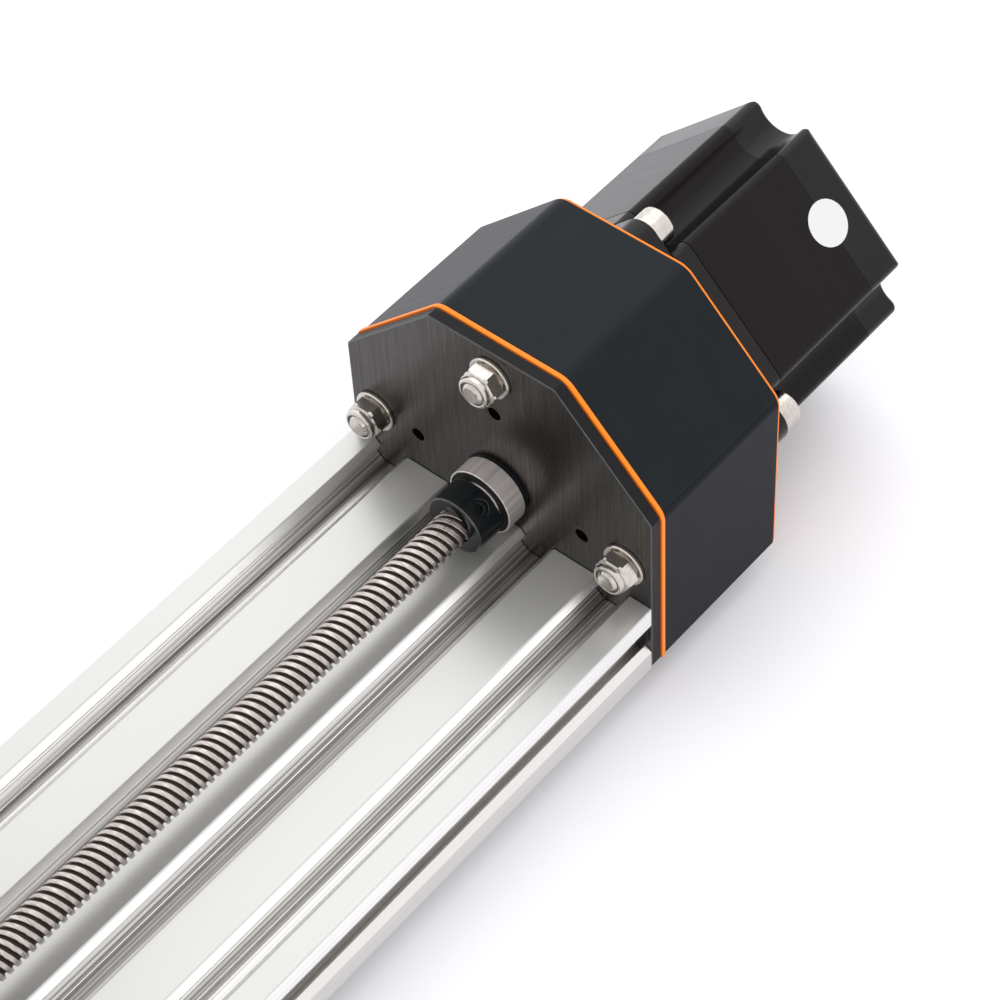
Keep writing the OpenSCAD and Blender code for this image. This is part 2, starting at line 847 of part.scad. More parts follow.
// A lock collar along +Z, with chamfered edges and a hole for its set screw.
module lock_collar() {
    chamfer = 0.3;
    bore_r = screw_d / 2;
    r = collar_d / 2;
    difference() {
        rotate_extrude()
            polygon([
                [bore_r, 0], [r - chamfer, 0], [r, chamfer],
                [r, collar_w - chamfer], [r - chamfer, collar_w], [bore_r, collar_w]
            ]);
        at_set_screw() cylinder(h = r + past, d = set_screw_d);
    }
}

// Children drawn along +Z are put in a collar's set screw hole, pointing outwards.
module at_set_screw() {
    translate([0, 0, collar_w / 2]) rotate([0, 0, -set_screw_angle]) rotate([0, 90, 0]) children();
}

module drive_lock_collar() {
    color(black_steel) on_axis(drive_collar_y) lock_collar();
}

module idler_lock_collar() {
    color(black_steel) on_axis(idler_collar_y) lock_collar();
}

module collar_set_screws() {
    sink = 0.45;
    key_depth = 1.5;
    key_r = 0.28 * set_screw_d;
    length = (collar_d - screw_d) / 2 - sink;
    color(black_steel)
        for (y = [drive_collar_y, idler_collar_y])
            on_axis(y)
                at_set_screw()
                    translate([0, 0, screw_d / 2])
                        difference() {
                            cylinder(h = length, r = set_screw_d / 2 - hole_gap / 2);
                            translate([0, 0, length - key_depth])
                                cylinder(h = key_depth + past, r = key_r, $fn = 6);
                        }
}

module bearing_inner_rings() {
    color(bright_steel)
        for (y = [front_bearing_y, rear_bearing_y, idler_bearing_y])
            on_axis(y) bearing_inner_ring(screw_bearing);
}

// Outer radius of a shim that touches only a bearing's inner ring.
function shim_r(b) = b[0] + 0.8 * race_t(b);

// Shims and a sleeve hold the inner rings between the collars and the coupling.
module bearing_shims() {
    color(bright_steel)
        for (span = [
            [front_bearing_y - shim_t, front_bearing_y], [drive_y - shim_t, drive_y],
            [rear_bearing_y + bearing_w, coupling_y], [idler_bearing_y - shim_t, idler_bearing_y]
        ])
            ring_y(span[0], span[1], shim_r(screw_bearing), screw_d / 2);
}

// A one-piece coupling: crossed slits let it bend, and a clamp at each end grips a shaft.
module shaft_coupling() {
    slit_t = 0.8;
    slit_pitch = 2.4 * slit_t;
    slit_bridge = 0.45 * coupling_d / 2;
    r = coupling_d / 2;
    middle = (screw_end_y + shaft_tip_y) / 2 - coupling_y;
    color(satin_aluminium)
        on_axis(coupling_y)
            difference() {
                cylinder(h = coupling_l, r = r);
                translate([0, 0, -past]) cylinder(h = middle + past, d = screw_d);
                translate([0, 0, middle]) cylinder(h = coupling_l, d = shaft_d);
                for (i = [-2 : 2])
                    translate([0, 0, coupling_l / 2 + i * slit_pitch - slit_t / 2])
                        rotate([0, 0, 90 * i])
                            translate([slit_bridge - r, -r - past, 0])
                                cube([2 * r, 2 * (r + past), slit_t]);
                for (z = [-past, coupling_l - coupling_clamp_l])
                    translate([0, -slit_t / 2, z]) cube([r + past, slit_t, coupling_clamp_l + past]);
                clamp_screw_rods(0);
            }
}

// The clamp screws cross the coupling beside the shafts, with their heads on one side.
module clamp_screw_rods(gap) {
    screw_l = 2 * clamp_screw_half_l;
    head_l = 4;
    for (z = [coupling_clamp_l / 2, coupling_l - coupling_clamp_l / 2])
        translate([clamp_screw_x, clamp_screw_half_l, z]) rotate([90, 0, 0]) {
            cylinder(h = screw_l, r = clamp_screw_r - gap);
            translate([0, 0, -head_l]) cylinder(h = head_l + past, r = clamp_head_r - gap);
        }
}

module coupling_screws() {
    sink = 0.2;
    color(black_steel)
        intersection() {
            on_axis(coupling_y) clamp_screw_rods(hole_gap / 2);
            ring_y(coupling_y, coupling_y + coupling_l, coupling_d / 2 - sink, screw_d / 2 + hole_gap);
        }
}

module motor_shaft() {
    tip_chamfer = 0.5;
    r = shaft_d / 2;
    length = shaft_reach + motor_l - motor_end_wall - moving_gap;
    color(bright_steel)
        on_axis(shaft_tip_y)
            rotate_extrude()
                polygon([[0, 0], [r - tip_chamfer, 0], [r, tip_chamfer], [r, length], [0, length]]);
}

// The rotor is a little shorter than the stack round it.
module motor_rotor() {
    inset = 1;
    y0 = motor_y + front_bell_l;
    color(lamination) ring_y(y0 + inset, y0 + stack_l - inset, rotor_r, shaft_d / 2);
}

// ---------------------------------------------------------------- carriage

module gantry_outline() {
    half = [gantry_w, gantry_l] / 2;
    corners = [for (s = [[-1, -1], [1, -1], [1, 1], [-1, 1]]) [s[0] * half[0], s[1] * half[1]]];
    polygon(rounded(corners, [for (i = [0 : 3]) gantry_corner_r]));
}

// Children are put at the four screws of the nut block.
module at_nut_screws() {
    for (x = [-1, 1], y = [-1, 1])
        translate([x * (nut_w / 2 - nut_screw_inset), gantry_y + y * (nut_l / 2 - nut_screw_inset), 0])
            children();
}

// Children are put at the four payload holes.
module at_payload_holes() {
    for (x = [-1, 1], y = [-1, 1])
        translate([x * payload_x / 2, gantry_y + y * payload_y / 2, 0]) children();
}

// Left wheels run on plain holes, and right wheels on the round bosses of eccentric spacers.
function is_eccentric(spot) = spot[0] > 0;
function eccentric_x(spot) = is_eccentric(spot) ? eccentric_offset : 0;
function eccentric_boss_r() = bolt_d / 2 + eccentric_offset + 0.6;
function wheel_hole_r(spot) = hole_gap + (is_eccentric(spot) ? eccentric_boss_r() : bolt_d / 2);

module gantry_plate() {
    cut_h = gantry_t + 2 * past;
    color(black_anodised)
        difference() {
            translate([0, gantry_y, gantry_z]) linear_extrude(gantry_t) gantry_outline();
            translate([0, 0, gantry_z - past]) {
                for (spot = wheel_spots)
                    translate([spot[0] + eccentric_x(spot), spot[1], 0])
                        cylinder(h = cut_h, r = wheel_hole_r(spot));
                at_nut_screws() cylinder(h = cut_h, r = bolt_d / 2 + hole_gap);
                at_payload_holes() cylinder(h = cut_h, r = bolt_d / 2 + hole_gap);
            }
        }
}

// The nut block runs on the screw, and its slit takes up backlash.
module nut_block() {
    slit_t = 1.2;
    slit_y = nut_l / 4 - slit_t;
    slit_bridge = 0.2 * nut_w;
    nut_z = axis_z - nut_below;
    block_h = gantry_z - nut_z;
    color(white_plastic)
        difference() {
            translate([-nut_w / 2, gantry_y - nut_l / 2, nut_z]) cube([nut_w, nut_l, block_h]);
            axis_hole(gantry_y - nut_l / 2, gantry_y + nut_l / 2, screw_d / 2 + running_gap);
            translate([-nut_w / 2 - past, gantry_y + slit_y, nut_z - past])
                cube([nut_w - slit_bridge + past, slit_t, block_h + 2 * past]);
            at_nut_screws() translate([0, 0, gantry_z - nut_screw_grip - past])
                cylinder(h = nut_screw_grip + 2 * past, r = bolt_d / 2 + hole_gap / 2);
        }
}

module nut_block_screws() {
    color(bright_steel)
        at_nut_screws()
            translate([0, 0, gantry_z + gantry_t])
                rotate([180, 0, 0]) button_screw(gantry_t + nut_screw_grip);
}

module wheel_bolts() {
    color(bright_steel)
        at_wheels() translate([0, 0, wheel_z - wheel_stack_h / 2]) button_screw(wheel_bolt_l);
}

module wheel_nuts() {
    color(bright_steel)
        at_wheels() translate([0, 0, gantry_z + gantry_t]) lock_nut();
}

module wheel_spacers() {
    color(satin_aluminium)
        for (spot = wheel_spots)
            translate([spot[0], spot[1], spacer_z])
                ring(gantry_z - spacer_z - (is_eccentric(spot) ? eccentric_h : 0),
                    washer_d / 2, bolt_d / 2 + hole_gap);
}

// An eccentric spacer: a hexagon under the plate and a boss in it, both off the bolt's axis.
module eccentric_spacers() {
    boss_sink = 0.5;
    color(bright_steel)
        for (spot = wheel_spots)
            if (is_eccentric(spot))
                translate([spot[0], spot[1], gantry_z])
                    difference() {
                        translate([eccentric_offset, 0, 0]) {
                            translate([0, 0, -eccentric_h])
                                cylinder(h = eccentric_h, r = washer_d / sqrt(3), $fn = 6);
                            cylinder(h = gantry_t - boss_sink, r = eccentric_boss_r());
                        }
                        translate([0, 0, -eccentric_h - past])
                            cylinder(h = eccentric_h + gantry_t + 2 * past, r = bolt_d / 2 + hole_gap);
                    }
}

module wheel_shims() {
    color(bright_steel)
        at_wheels()
            for (z = [wheel_z - shim_t / 2, spacer_z - shim_t])
                translate([0, 0, z]) ring(shim_t, shim_r(wheel_bearing), bolt_d / 2 + hole_gap);
}

// Heights of each wheel's two bearings.
function wheel_bearing_z() = [wheel_z - wheel_stack_h / 2, wheel_z + shim_t / 2];

module wheel_inner_rings() {
    color(bright_steel)
        at_wheels()
            for (z = wheel_bearing_z())
                translate([0, 0, z]) bearing_inner_ring(wheel_bearing);
}

// ---------------------------------------------------------------- wheels

// A V wheel, with a rib between its two bearings.
module wheel(spot) {
    tip_r = wheel_d / 2;
    shoulder_r = wheel_shoulder_r;
    edge = 0.3;
    seat_r = bearing_d / 2;
    half = wheel_w / 2;
    tip = wheel_tip_half_w;
    flank = tip + tip_r - shoulder_r;
    upper = [
        [shoulder_r, flank], [shoulder_r, half - edge], [shoulder_r - edge, half], [seat_r, half],
        [seat_r, shim_t / 2], [seat_r - race_t(wheel_bearing), shim_t / 2]
    ];
    lower = [for (i = [len(upper) - 1 : -1 : 0]) [upper[i][0], -upper[i][1]]];
    color(black_plastic)
        translate([spot[0], spot[1], wheel_z])
            rotate_extrude() polygon(concat([[tip_r, -tip], [tip_r, tip]], upper, lower));
}

module wheel_bearings(spot) {
    color(bright_steel)
        for (z = wheel_bearing_z())
            translate([spot[0], spot[1], z]) {
                bearing_outer_ring(wheel_bearing);
                bearing_shields(wheel_bearing);
                bearing_balls(wheel_bearing);
            }
}

// ---------------------------------------------------------------- nodes

beam();
drive_end_plate();
drive_plate_screws();
front_liner();
coupler_housing();
rear_liner();
motor_front_bell();
motor_stack();
motor_rear_bell();
motor_windings();
motor_bearings();
motor_case_screws();
motor_socket();
motor_label();
motor_bolts();
motor_washers();
motor_nuts();
drive_bearing_outer_rings();
drive_bearing_shields();
drive_bearing_balls();
drive_bearing_spacer();
idler_plate();
idler_plate_screws();
idler_bearing_outer_ring();
idler_bearing_shields();
idler_bearing_balls();
lead_screw();
drive_lock_collar();
idler_lock_collar();
collar_set_screws();
bearing_inner_rings();
bearing_shims();
shaft_coupling();
coupling_screws();
motor_shaft();
motor_rotor();
gantry_plate();
nut_block();
nut_block_screws();
wheel_bolts();
wheel_nuts();
wheel_spacers();
eccentric_spacers();
wheel_shims();
wheel_inner_rings();
wheel(wheel_spots[0]);  // wheel_front_left
wheel_bearings(wheel_spots[0]);  // wheel_front_left_bearings
wheel(wheel_spots[1]);  // wheel_rear_left
wheel_bearings(wheel_spots[1]);  // wheel_rear_left_bearings
wheel(wheel_spots[2]);  // wheel_front_right
wheel_bearings(wheel_spots[2]);  // wheel_front_right_bearings
wheel(wheel_spots[3]);  // wheel_rear_right
wheel_bearings(wheel_spots[3]);  // wheel_rear_right_bearings
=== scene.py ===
# %% [markdown]
# # A lead screw linear module
# A lead screw linear module turns a motor's rotation into a straight, exact movement. A slotted
# aluminium beam carries everything. A stepper motor, at the far end, turns a long screw, and the
# screw pushes a carriage that rolls along the beam on four wheels.
#
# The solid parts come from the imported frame, in metres: X runs across the beam, Y along it
# towards the motor, and Z up. Each step below takes one piece or one finish, says what it is on
# the real module, and makes it with the Blender tool that suits it.

# %% Load the frame
import json
import math

import bmesh
import bpy
from mathutils import Euler, Matrix, Vector

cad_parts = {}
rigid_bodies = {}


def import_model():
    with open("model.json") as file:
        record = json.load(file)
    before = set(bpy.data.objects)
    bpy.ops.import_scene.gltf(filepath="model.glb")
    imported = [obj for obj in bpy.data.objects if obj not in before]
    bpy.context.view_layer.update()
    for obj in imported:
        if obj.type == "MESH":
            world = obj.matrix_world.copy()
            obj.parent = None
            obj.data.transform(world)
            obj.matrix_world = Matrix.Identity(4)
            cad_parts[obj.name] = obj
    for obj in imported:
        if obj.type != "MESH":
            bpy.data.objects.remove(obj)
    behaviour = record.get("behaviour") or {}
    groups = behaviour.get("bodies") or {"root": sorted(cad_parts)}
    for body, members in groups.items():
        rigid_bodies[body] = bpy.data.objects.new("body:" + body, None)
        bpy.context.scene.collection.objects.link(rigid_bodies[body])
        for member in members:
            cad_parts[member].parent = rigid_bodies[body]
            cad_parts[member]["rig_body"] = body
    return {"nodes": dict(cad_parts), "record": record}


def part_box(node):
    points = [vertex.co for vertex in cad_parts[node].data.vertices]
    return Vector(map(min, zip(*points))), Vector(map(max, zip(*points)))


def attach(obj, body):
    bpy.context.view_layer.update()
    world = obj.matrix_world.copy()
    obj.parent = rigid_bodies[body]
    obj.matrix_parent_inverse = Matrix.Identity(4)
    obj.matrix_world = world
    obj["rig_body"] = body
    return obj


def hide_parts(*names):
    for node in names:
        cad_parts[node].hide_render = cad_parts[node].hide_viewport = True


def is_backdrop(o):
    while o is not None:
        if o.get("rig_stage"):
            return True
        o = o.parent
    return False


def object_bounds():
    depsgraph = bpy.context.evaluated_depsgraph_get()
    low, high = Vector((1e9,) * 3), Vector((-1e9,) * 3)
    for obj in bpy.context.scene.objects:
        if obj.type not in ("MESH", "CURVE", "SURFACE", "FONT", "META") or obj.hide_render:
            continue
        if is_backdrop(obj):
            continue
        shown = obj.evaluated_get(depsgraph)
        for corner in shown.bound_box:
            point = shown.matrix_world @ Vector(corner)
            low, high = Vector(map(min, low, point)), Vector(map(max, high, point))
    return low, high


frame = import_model()
solid_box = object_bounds()
slot_of = {row["node"]: row["material_slot"] for row in frame["record"]["subparts"]}
body_of = {node: piece["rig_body"] for node, piece in frame["nodes"].items()}
MM = 0.001

# %% [markdown]
# ## Sizes
# Every place below is measured from the solids, so that a detailed piece sits exactly where the
# plain one does. Most of the drive end turns about one line, the screw's axis, so its height is
# measured once and used for every round piece on it.

# %% Measure the main lines
def low(node):
    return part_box(node)[0]


def high(node):
    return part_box(node)[1]


axis_height = (low("lead_screw").z + high("lead_screw").z) / 2
floor_height = solid_box[0].z
plate_front = low("drive_end_plate").y
print(f"axis {axis_height / MM:.2f} mm up, plate at {plate_front / MM:.1f} mm")

# %% [markdown]
# ## Wiring nodes as sums
# Materials and Geometry Nodes are both graphs of small nodes. Linking them one by one makes long
# code that hides the idea, so one small class wraps an output socket and lets `a * b + c` add the
# Math nodes by itself. Everything that isn't arithmetic comes from one method, `add`.

# %% A socket that can be used in a sum
class Wire:
    """An output socket. Arithmetic on it adds Math nodes to its tree."""

    def __init__(self, graph, socket):
        self.graph = graph
        self.socket = socket

    def maths(self, operation, *values):
        settings = {"operation": operation}
        return self.graph.add("ShaderNodeMath", settings, dict(enumerate(values)))

    def __add__(self, other):
        return self.maths("ADD", self, other)

    def __sub__(self, other):
        return self.maths("SUBTRACT", self, other)

    def __mul__(self, other):
        return self.maths("MULTIPLY", self, other)

    def __truediv__(self, other):
        return self.maths("DIVIDE", self, other)

    def sine(self):
        return self.maths("SINE", self)

    def cosine(self):
        return self.maths("COSINE", self)

    def floor(self):
        return self.maths("FLOOR", self)

    def root(self):
        return self.maths("SQRT", self)

    def remainder(self, other):
        return self.maths("MODULO", self, other)


class Graph:
    """A node tree written step by step."""

    def __init__(self, tree):
        self.tree = tree

    def add(self, kind, settings=None, values=None, out=0):
        node = self.tree.nodes.new(kind)
        for name, value in (settings or {}).items():
            setattr(node, name, value)
        for name, value in (values or {}).items():
            self.feed(node.inputs[name], value)
        return Wire(self, node.outputs[out])

    def feed(self, socket, value):
        if isinstance(value, Wire):
            self.tree.links.new(value.socket, socket)
        else:
            socket.default_value = value


print("wires ready")

# %% [markdown]
# ## A finish
# A finish is a Principled material plus what breaks up its evenness: a colour that drifts, a
# roughness with fine grain, and bumps for marks that catch light. `grain` is noise stretched to
# the size of the real mark in metres along X, Y and Z, so a die line can be half a millimetre
# wide and a hand long. Noise keeps near its middle, so `spread` stretches it from end to end.
# Patterns read Object coordinates, so they stay on the piece as it moves.

# %% The finish class
def grey(level):
    return (level, level, level, 1)


def colour(red, green, blue):
    return (red, green, blue, 1)


class Finish(Graph):
    """A Principled material for one of the module's finishes."""

    made = {}

    def __init__(self, name, metallic=0.0, **fixed):
        self.material = bpy.data.materials.new(name)
        self.material.use_nodes = True
        super().__init__(self.material.node_tree)
        self.shader = self.tree.nodes["Principled BSDF"]
        self.feed(self.shader.inputs["Metallic"], metallic)
        for socket, value in fixed.items():
            self.feed(self.shader.inputs[socket.replace("_", " ")], value)
        self.place = self.add("ShaderNodeTexCoord", out="Object")
        self.surface = None
        Finish.made[name] = self.material

    def axes(self):
        node = self.add("ShaderNodeSeparateXYZ", values={"Vector": self.place}).socket.node
        return [Wire(self, output) for output in node.outputs]

    def grain(self, size_mm, detail=2.0, roughness=0.5, shift=0.0):
        scale = [1 / (s * MM) for s in size_mm]
        placed = self.add("ShaderNodeMapping", values={"Vector": self.place, "Scale": scale,
                                                       "Location": [shift] * 3})
        return self.add("ShaderNodeTexNoise", values={
            "Vector": placed, "Scale": 1.0, "Detail": detail, "Roughness": roughness}, out="Fac")

    def level(self, value, start, stop, low_end=0.0, high_end=1.0):
        return self.add("ShaderNodeMapRange", {"clamp": True}, {
            "Value": value, "From Min": start, "From Max": stop,
            "To Min": low_end, "To Max": high_end})

    def spread(self, noise, low_end=0.0, high_end=1.0):
        return self.level(noise, 0.3, 0.7, low_end, high_end)

    def between(self, factor, first, second):
        return self.add("ShaderNodeMix", {"data_type": "RGBA"}, {0: factor, 6: first, 7: second}, 2)

    def paint(self, factor, first, second):
        self.feed(self.shader.inputs["Base Color"], self.between(factor, first, second))

    def polish(self, roughness):
        self.feed(self.shader.inputs["Roughness"], roughness)

    def bump(self, height, depth_mm):
        values = {"Height": height, "Distance": depth_mm * MM, "Strength": 1.0}
        if self.surface is not None:
            values["Normal"] = self.surface
        self.surface = self.add("ShaderNodeBump", values=values)
        self.feed(self.shader.inputs["Normal"], self.surface)


print("finish class ready")

# %% [markdown]
# ## Clear anodised aluminium
# The beam is pushed through a die, which leaves fine straight lines along it, and is then etched
# and anodised, which leaves a satin surface with a very fine sparkle. Long thin grain gives the
# lines and short grain the sparkle. The flat lands on top stay pale and even. Below them the
# slots' flanks mirror like bare metal, with painted shade that darkens the lower half of the beam,
# and inside the slots the lines stand out most over a darker colour that is painted shade. Height
# tells these regions apart, and distance from the beam's sides keeps its outer walls out of the last
# one.

# %% The beam's finish
satin = Finish("satin_aluminium")
across, _, up = satin.axes()
top, half_width = high("beam").z, high("beam").x
slot_lip = 1.6 * MM
side_wall = 2 * MM
below_top = satin.level(up, top - 0.4 * MM, top - 0.1 * MM, 1.0, 0.0)
below_lip = satin.level(up, top - slot_lip - 0.5 * MM, top - slot_lip, 1.0, 0.0)
off_sides = satin.level(across * across, (half_width - side_wall - 1 * MM) ** 2,
                        (half_width - side_wall) ** 2, 1.0, 0.0)
die_lines = satin.grain((0.34, 500, 0.34), detail=1.5, roughness=0.6)
sparkle = satin.grain((0.3, 0.4, 0.3), detail=1)
streak = satin.level(die_lines, 0.38, 0.60)
# Painted shade: the flanks' lower half is darker, and inside the slots the die lines run over a dark
# painted shade.
above_painted_shade = satin.level(up, top / 2 - 2 * MM, top / 2)
flank_colour_with_painted_shade = satin.between(
    above_painted_shade, colour(0.70, 0.685, 0.67),
    satin.between(streak, colour(0.88, 0.87, 0.86), colour(0.99, 0.985, 0.97)))
slot_lines_with_painted_shade = satin.between(streak, colour(0.34, 0.325, 0.31), colour(0.95, 0.94, 0.92))
slot_colour_with_painted_shade = satin.between(below_lip * off_sides, flank_colour_with_painted_shade, slot_lines_with_painted_shade)
satin.paint(below_top, colour(0.55, 0.548, 0.537), slot_colour_with_painted_shade)
satin.feed(satin.shader.inputs["Metallic"], satin.level(below_top, 0.0, 1.0, 0.57, 0.95))
satin.polish(satin.level(sparkle, 0.25, 0.75, 0.285, 0.305))
satin.bump(die_lines * below_top, 0.003)
print("satin aluminium")

# %% [markdown]
# ## Black anodised plate
# The end plates are cut from rolled sheet, brushed upwards and anodised black. The dye leaves a
# warm dark grey that still mirrors a little, broken by upright streaks. The streaks are grain
# stretched along Z, in colour, roughness and a very shallow bump. The gantry plate is brushed
# along Y instead.

# %% The plates' finish
def brushed_black(name, streak_mm):
    finish = Finish(name, metallic=0.97)
    wide = finish.grain(streak_mm, detail=3, roughness=0.6)
    fine = finish.grain([s * 0.3 for s in streak_mm], detail=2, shift=4.0)
    both = wide * 0.6 + fine * 0.4
    finish.paint(finish.spread(both), colour(0.038, 0.035, 0.033), colour(0.094, 0.087, 0.082))
    finish.polish(finish.spread(both, 0.34, 0.24))
    finish.bump(both, 0.006)
    return finish


plate_black = brushed_black("brushed_black_plate", (0.45, 0.45, 26))
gantry_black = brushed_black("brushed_black_gantry", (0.45, 26, 0.45))
print("brushed black plates")

# %% [markdown]
# ## Layer-printed plastic
# The housing is printed in thin layers stacked along the beam, so its sides carry fine lines a
# fraction of a millimetre apart. A sine wave of Y gives the lines, and noise that changes with Y
# alone makes some layers paler. The orange liners are printed the same way.

# %% The housing's and the liners' finishes
LAYER = 0.32 * MM


def printed(name, dark, light, roughness, gloss):
    finish = Finish(name, Specular_IOR_Level=gloss)
    layers = (finish.axes()[1] * (2 * math.pi / LAYER)).sine()
    bands = finish.grain((400, 0.35, 400), detail=3, roughness=0.7)
    cloud = finish.grain((9, 9, 9), detail=2)
    finish.paint(finish.spread(bands * 0.7 + cloud * 0.3), dark, light)
    finish.polish(finish.spread(bands, roughness, roughness + 0.1))
    finish.bump(layers, 0.004)
    finish.bump(bands, 0.006)
    return finish


housing_print = printed("printed_black_plastic", colour(0.0050, 0.0075, 0.0095),
                        colour(0.0090, 0.0120, 0.0150), roughness=0.34, gloss=0.12)
orange_print = printed("printed_orange_plastic", colour(0.90, 0.20, 0.004),
                       colour(1.0, 0.26, 0.006), roughness=0.40, gloss=0.3)
print("printed plastics")

# %% [markdown]
# ## Motor finishes
# The bells are cast aluminium under satin black enamel, which flows into a faint orange peel.
# Between them, the stack is hundreds of thin steel sheets pressed together and lacquered, so it
# is a shade browner and has hairlines across Y at the sheets' thickness.

# %% The motor's finishes
enamel = Finish("motor_enamel", Specular_IOR_Level=0.22)
peel = enamel.grain((0.7, 0.7, 0.7), detail=2)
drift = enamel.grain((14, 14, 14), detail=2)
enamel.paint(drift, colour(0.0050, 0.0042, 0.0044), colour(0.0090, 0.0076, 0.0078))
enamel.polish(enamel.spread(drift, 0.20, 0.26))
enamel.bump(peel, 0.003)

sheets = Finish("lacquered_sheets", Specular_IOR_Level=0.12)
SHEET = 0.5 * MM
hairlines = (sheets.axes()[1] * (2 * math.pi / SHEET)).sine()
stain = sheets.grain((30, 1.2, 30), detail=3, roughness=0.6)
sheets.paint(sheets.spread(stain), colour(0.0074, 0.0060, 0.0058), colour(0.0092, 0.0074, 0.0072))
sheets.polish(sheets.spread(stain, 0.24, 0.265))
sheets.bump(hairlines, 0.004)
sheets.bump(stain, 0.001)

copper = Finish("enamelled_copper", metallic=1.0)
wires = copper.grain((0.5, 0.5, 0.5), detail=2)
copper.paint(wires, colour(0.45, 0.17, 0.06), colour(0.75, 0.34, 0.14))
copper.polish(copper.spread(wires, 0.25, 0.5))
copper.bump(wires, 0.08)
print("motor finishes")

# %% [markdown]
# ## Rolled thread
# The thread is rolled into a stainless rod: the crests are burnished and the grooves stay dull.
# The grooves are also painted dark, as shade between the teeth. Distance from the screw's axis tells
# a groove from a crest, so the colour and the roughness are mixed by it, with scuffs that run round
# the rod.

# %% The screw's finish
thread_steel = Finish("rolled_stainless", metallic=1.0)
across, _, up = thread_steel.axes()
off_axis = up - axis_height
radius = (across * across + off_axis * off_axis).root()
crest = thread_steel.level(radius, 3.25 * MM, 3.9 * MM)
scuffs = thread_steel.grain((4.0, 0.15, 4.0), detail=2, roughness=0.6)
crest_shade = thread_steel.between(thread_steel.spread(scuffs), colour(0.30, 0.265, 0.25),
                                   colour(0.62, 0.57, 0.55))
# The grooves' near-black colour is painted shade between the teeth.
thread_steel.paint(crest, colour(0.060, 0.046, 0.040), crest_shade)
thread_steel.polish(thread_steel.level(crest + scuffs * 0.5, 0.2, 1.4, 0.55, 0.20))
thread_steel.bump(scuffs, 0.006)
print("rolled stainless")

# %% [markdown]
# ## Small steel and plastic finishes
# Fasteners are bright stainless or zinc with a tumbled, slightly cloudy skin. Bearing rings are
# ground bright, with a faint grain across their width. The collars are black oxide over steel,
# dark blue-black and half glossy. Each gets the grain that its process leaves.

# %% The remaining finishes
def metal(name, dark, light, grain_mm, smooth, dull, depth_mm, metallic=1.0, **fixed):
    finish = Finish(name, metallic, **fixed)
    marks = finish.grain(grain_mm, detail=3, roughness=0.6)
    cloud = finish.grain([g * 9 for g in grain_mm], detail=1, shift=2.0)
    mixed = finish.spread(marks * 0.6 + cloud * 0.4)
    finish.paint(mixed, dark, light)
    finish.polish(finish.level(mixed, 0.0, 1.0, dull, smooth))
    finish.bump(marks, depth_mm)
    return finish


def plastic(name, dark, light, grain_mm, roughness, depth_mm):
    finish = Finish(name)
    marks = finish.grain(grain_mm, detail=2)
    finish.paint(finish.spread(marks), dark, light)
    finish.polish(finish.spread(marks, roughness, roughness + 0.12))
    finish.bump(marks, depth_mm)
    return finish


fastener = metal("bright_fastener_steel", colour(0.46, 0.43, 0.40), colour(0.66, 0.62, 0.58),
                 (0.9, 0.9, 0.9), 0.16, 0.23, 0.0008)
bearing = metal("ground_bearing_steel", colour(0.52, 0.465, 0.45), colour(1.0, 0.95, 0.93),
                (1.2, 40, 1.2), 0.285, 0.34, 0.0008, metallic=0.66)
oxide = metal("black_oxide_steel", colour(0.0030, 0.0042, 0.0055), colour(0.0060, 0.0080, 0.0098),
              (0.8, 0.8, 0.8), 0.16, 0.24, 0.0008, metallic=0.0, Specular_IOR_Level=0.4)
stainless = metal("turned_stainless", colour(0.44, 0.42, 0.40), colour(0.62, 0.60, 0.57),
                  (0.6, 0.12, 0.6), 0.2, 0.34, 0.001)
seal = plastic("seal_rubber", grey(0.008), grey(0.018), (0.3, 0.3, 0.3), 0.5, 0.006)
moulded = plastic("moulded_black", grey(0.010), grey(0.020), (0.4, 0.4, 0.4), 0.42, 0.008)
label = plastic("bare_label", grey(0.66), grey(0.70), (0.25, 0.25, 0.25), 0.45, 0.002)
# Painted shade: the nylon ring is coloured dark for the shade under the nut's collar.
nylon_painted_dark = plastic("clear_nylon", colour(0.10, 0.095, 0.085), colour(0.17, 0.16, 0.145),
                (0.4, 0.4, 0.4), 0.38, 0.004)
white_acetal = plastic("white_acetal", colour(0.74, 0.73, 0.70), colour(0.83, 0.82, 0.80),
                       (0.5, 7, 0.5), 0.34, 0.006)
black_acetal = plastic("black_acetal", grey(0.012), grey(0.024), (0.35, 0.35, 1.5), 0.32, 0.006)
print(len(Finish.made), "finishes")

# %% [markdown]
# ## Dressing the solids
# Inner solids such as windings, balls and shims already have the right shape, so they stay as
# they are and only take the finish of their material slot. Nodes that get a more detailed piece
# later are replaced by it then.

# %% A finish for every slot
finish_of_slot = {
    "clear_anodised": satin, "black_anodised": plate_black, "printed_black": housing_print,
    "printed_orange": orange_print, "motor_black": enamel, "lamination": sheets,
    "copper_wire": copper, "bearing_steel": bearing, "bearing_seal": seal,
    "black_steel": oxide, "black_plastic": moulded, "white_label": label,
    "zinc_steel": fastener, "stainless_steel": stainless, "white_acetal": white_acetal,
    "black_acetal": black_acetal,
}
finish_of_node = {node: finish_of_slot[slot] for node, slot in slot_of.items()}
finish_of_node["gantry_plate"] = gantry_black
finish_of_node["lead_screw"] = thread_steel
for node, piece in frame["nodes"].items():
    piece.data.materials.clear()
    piece.data.materials.append(finish_of_node[node].material)
print("dressed", len(finish_of_node), "nodes")

# %% [markdown]
# ## Handling pieces
# A detailed piece rides on the body of the solid that it stands for, so it moves as the solid
# does. Some pieces only go along with a solid, such as the nylon ring in a lock nut.

# %% Helpers for pieces
WELD = 0.002 * MM       # points closer than this are one point


def stand_for(piece, node):
    """The piece takes the node's place and body."""
    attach(piece, body_of[node])
    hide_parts(node)
    return piece


def go_with(piece, node):
    """The piece only goes along with the node, and has a slot of its own."""
    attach(piece, body_of[node])


def place_object(name, data):
    placed = bpy.data.objects.new(name, data)
    bpy.context.scene.collection.objects.link(placed)
    return placed


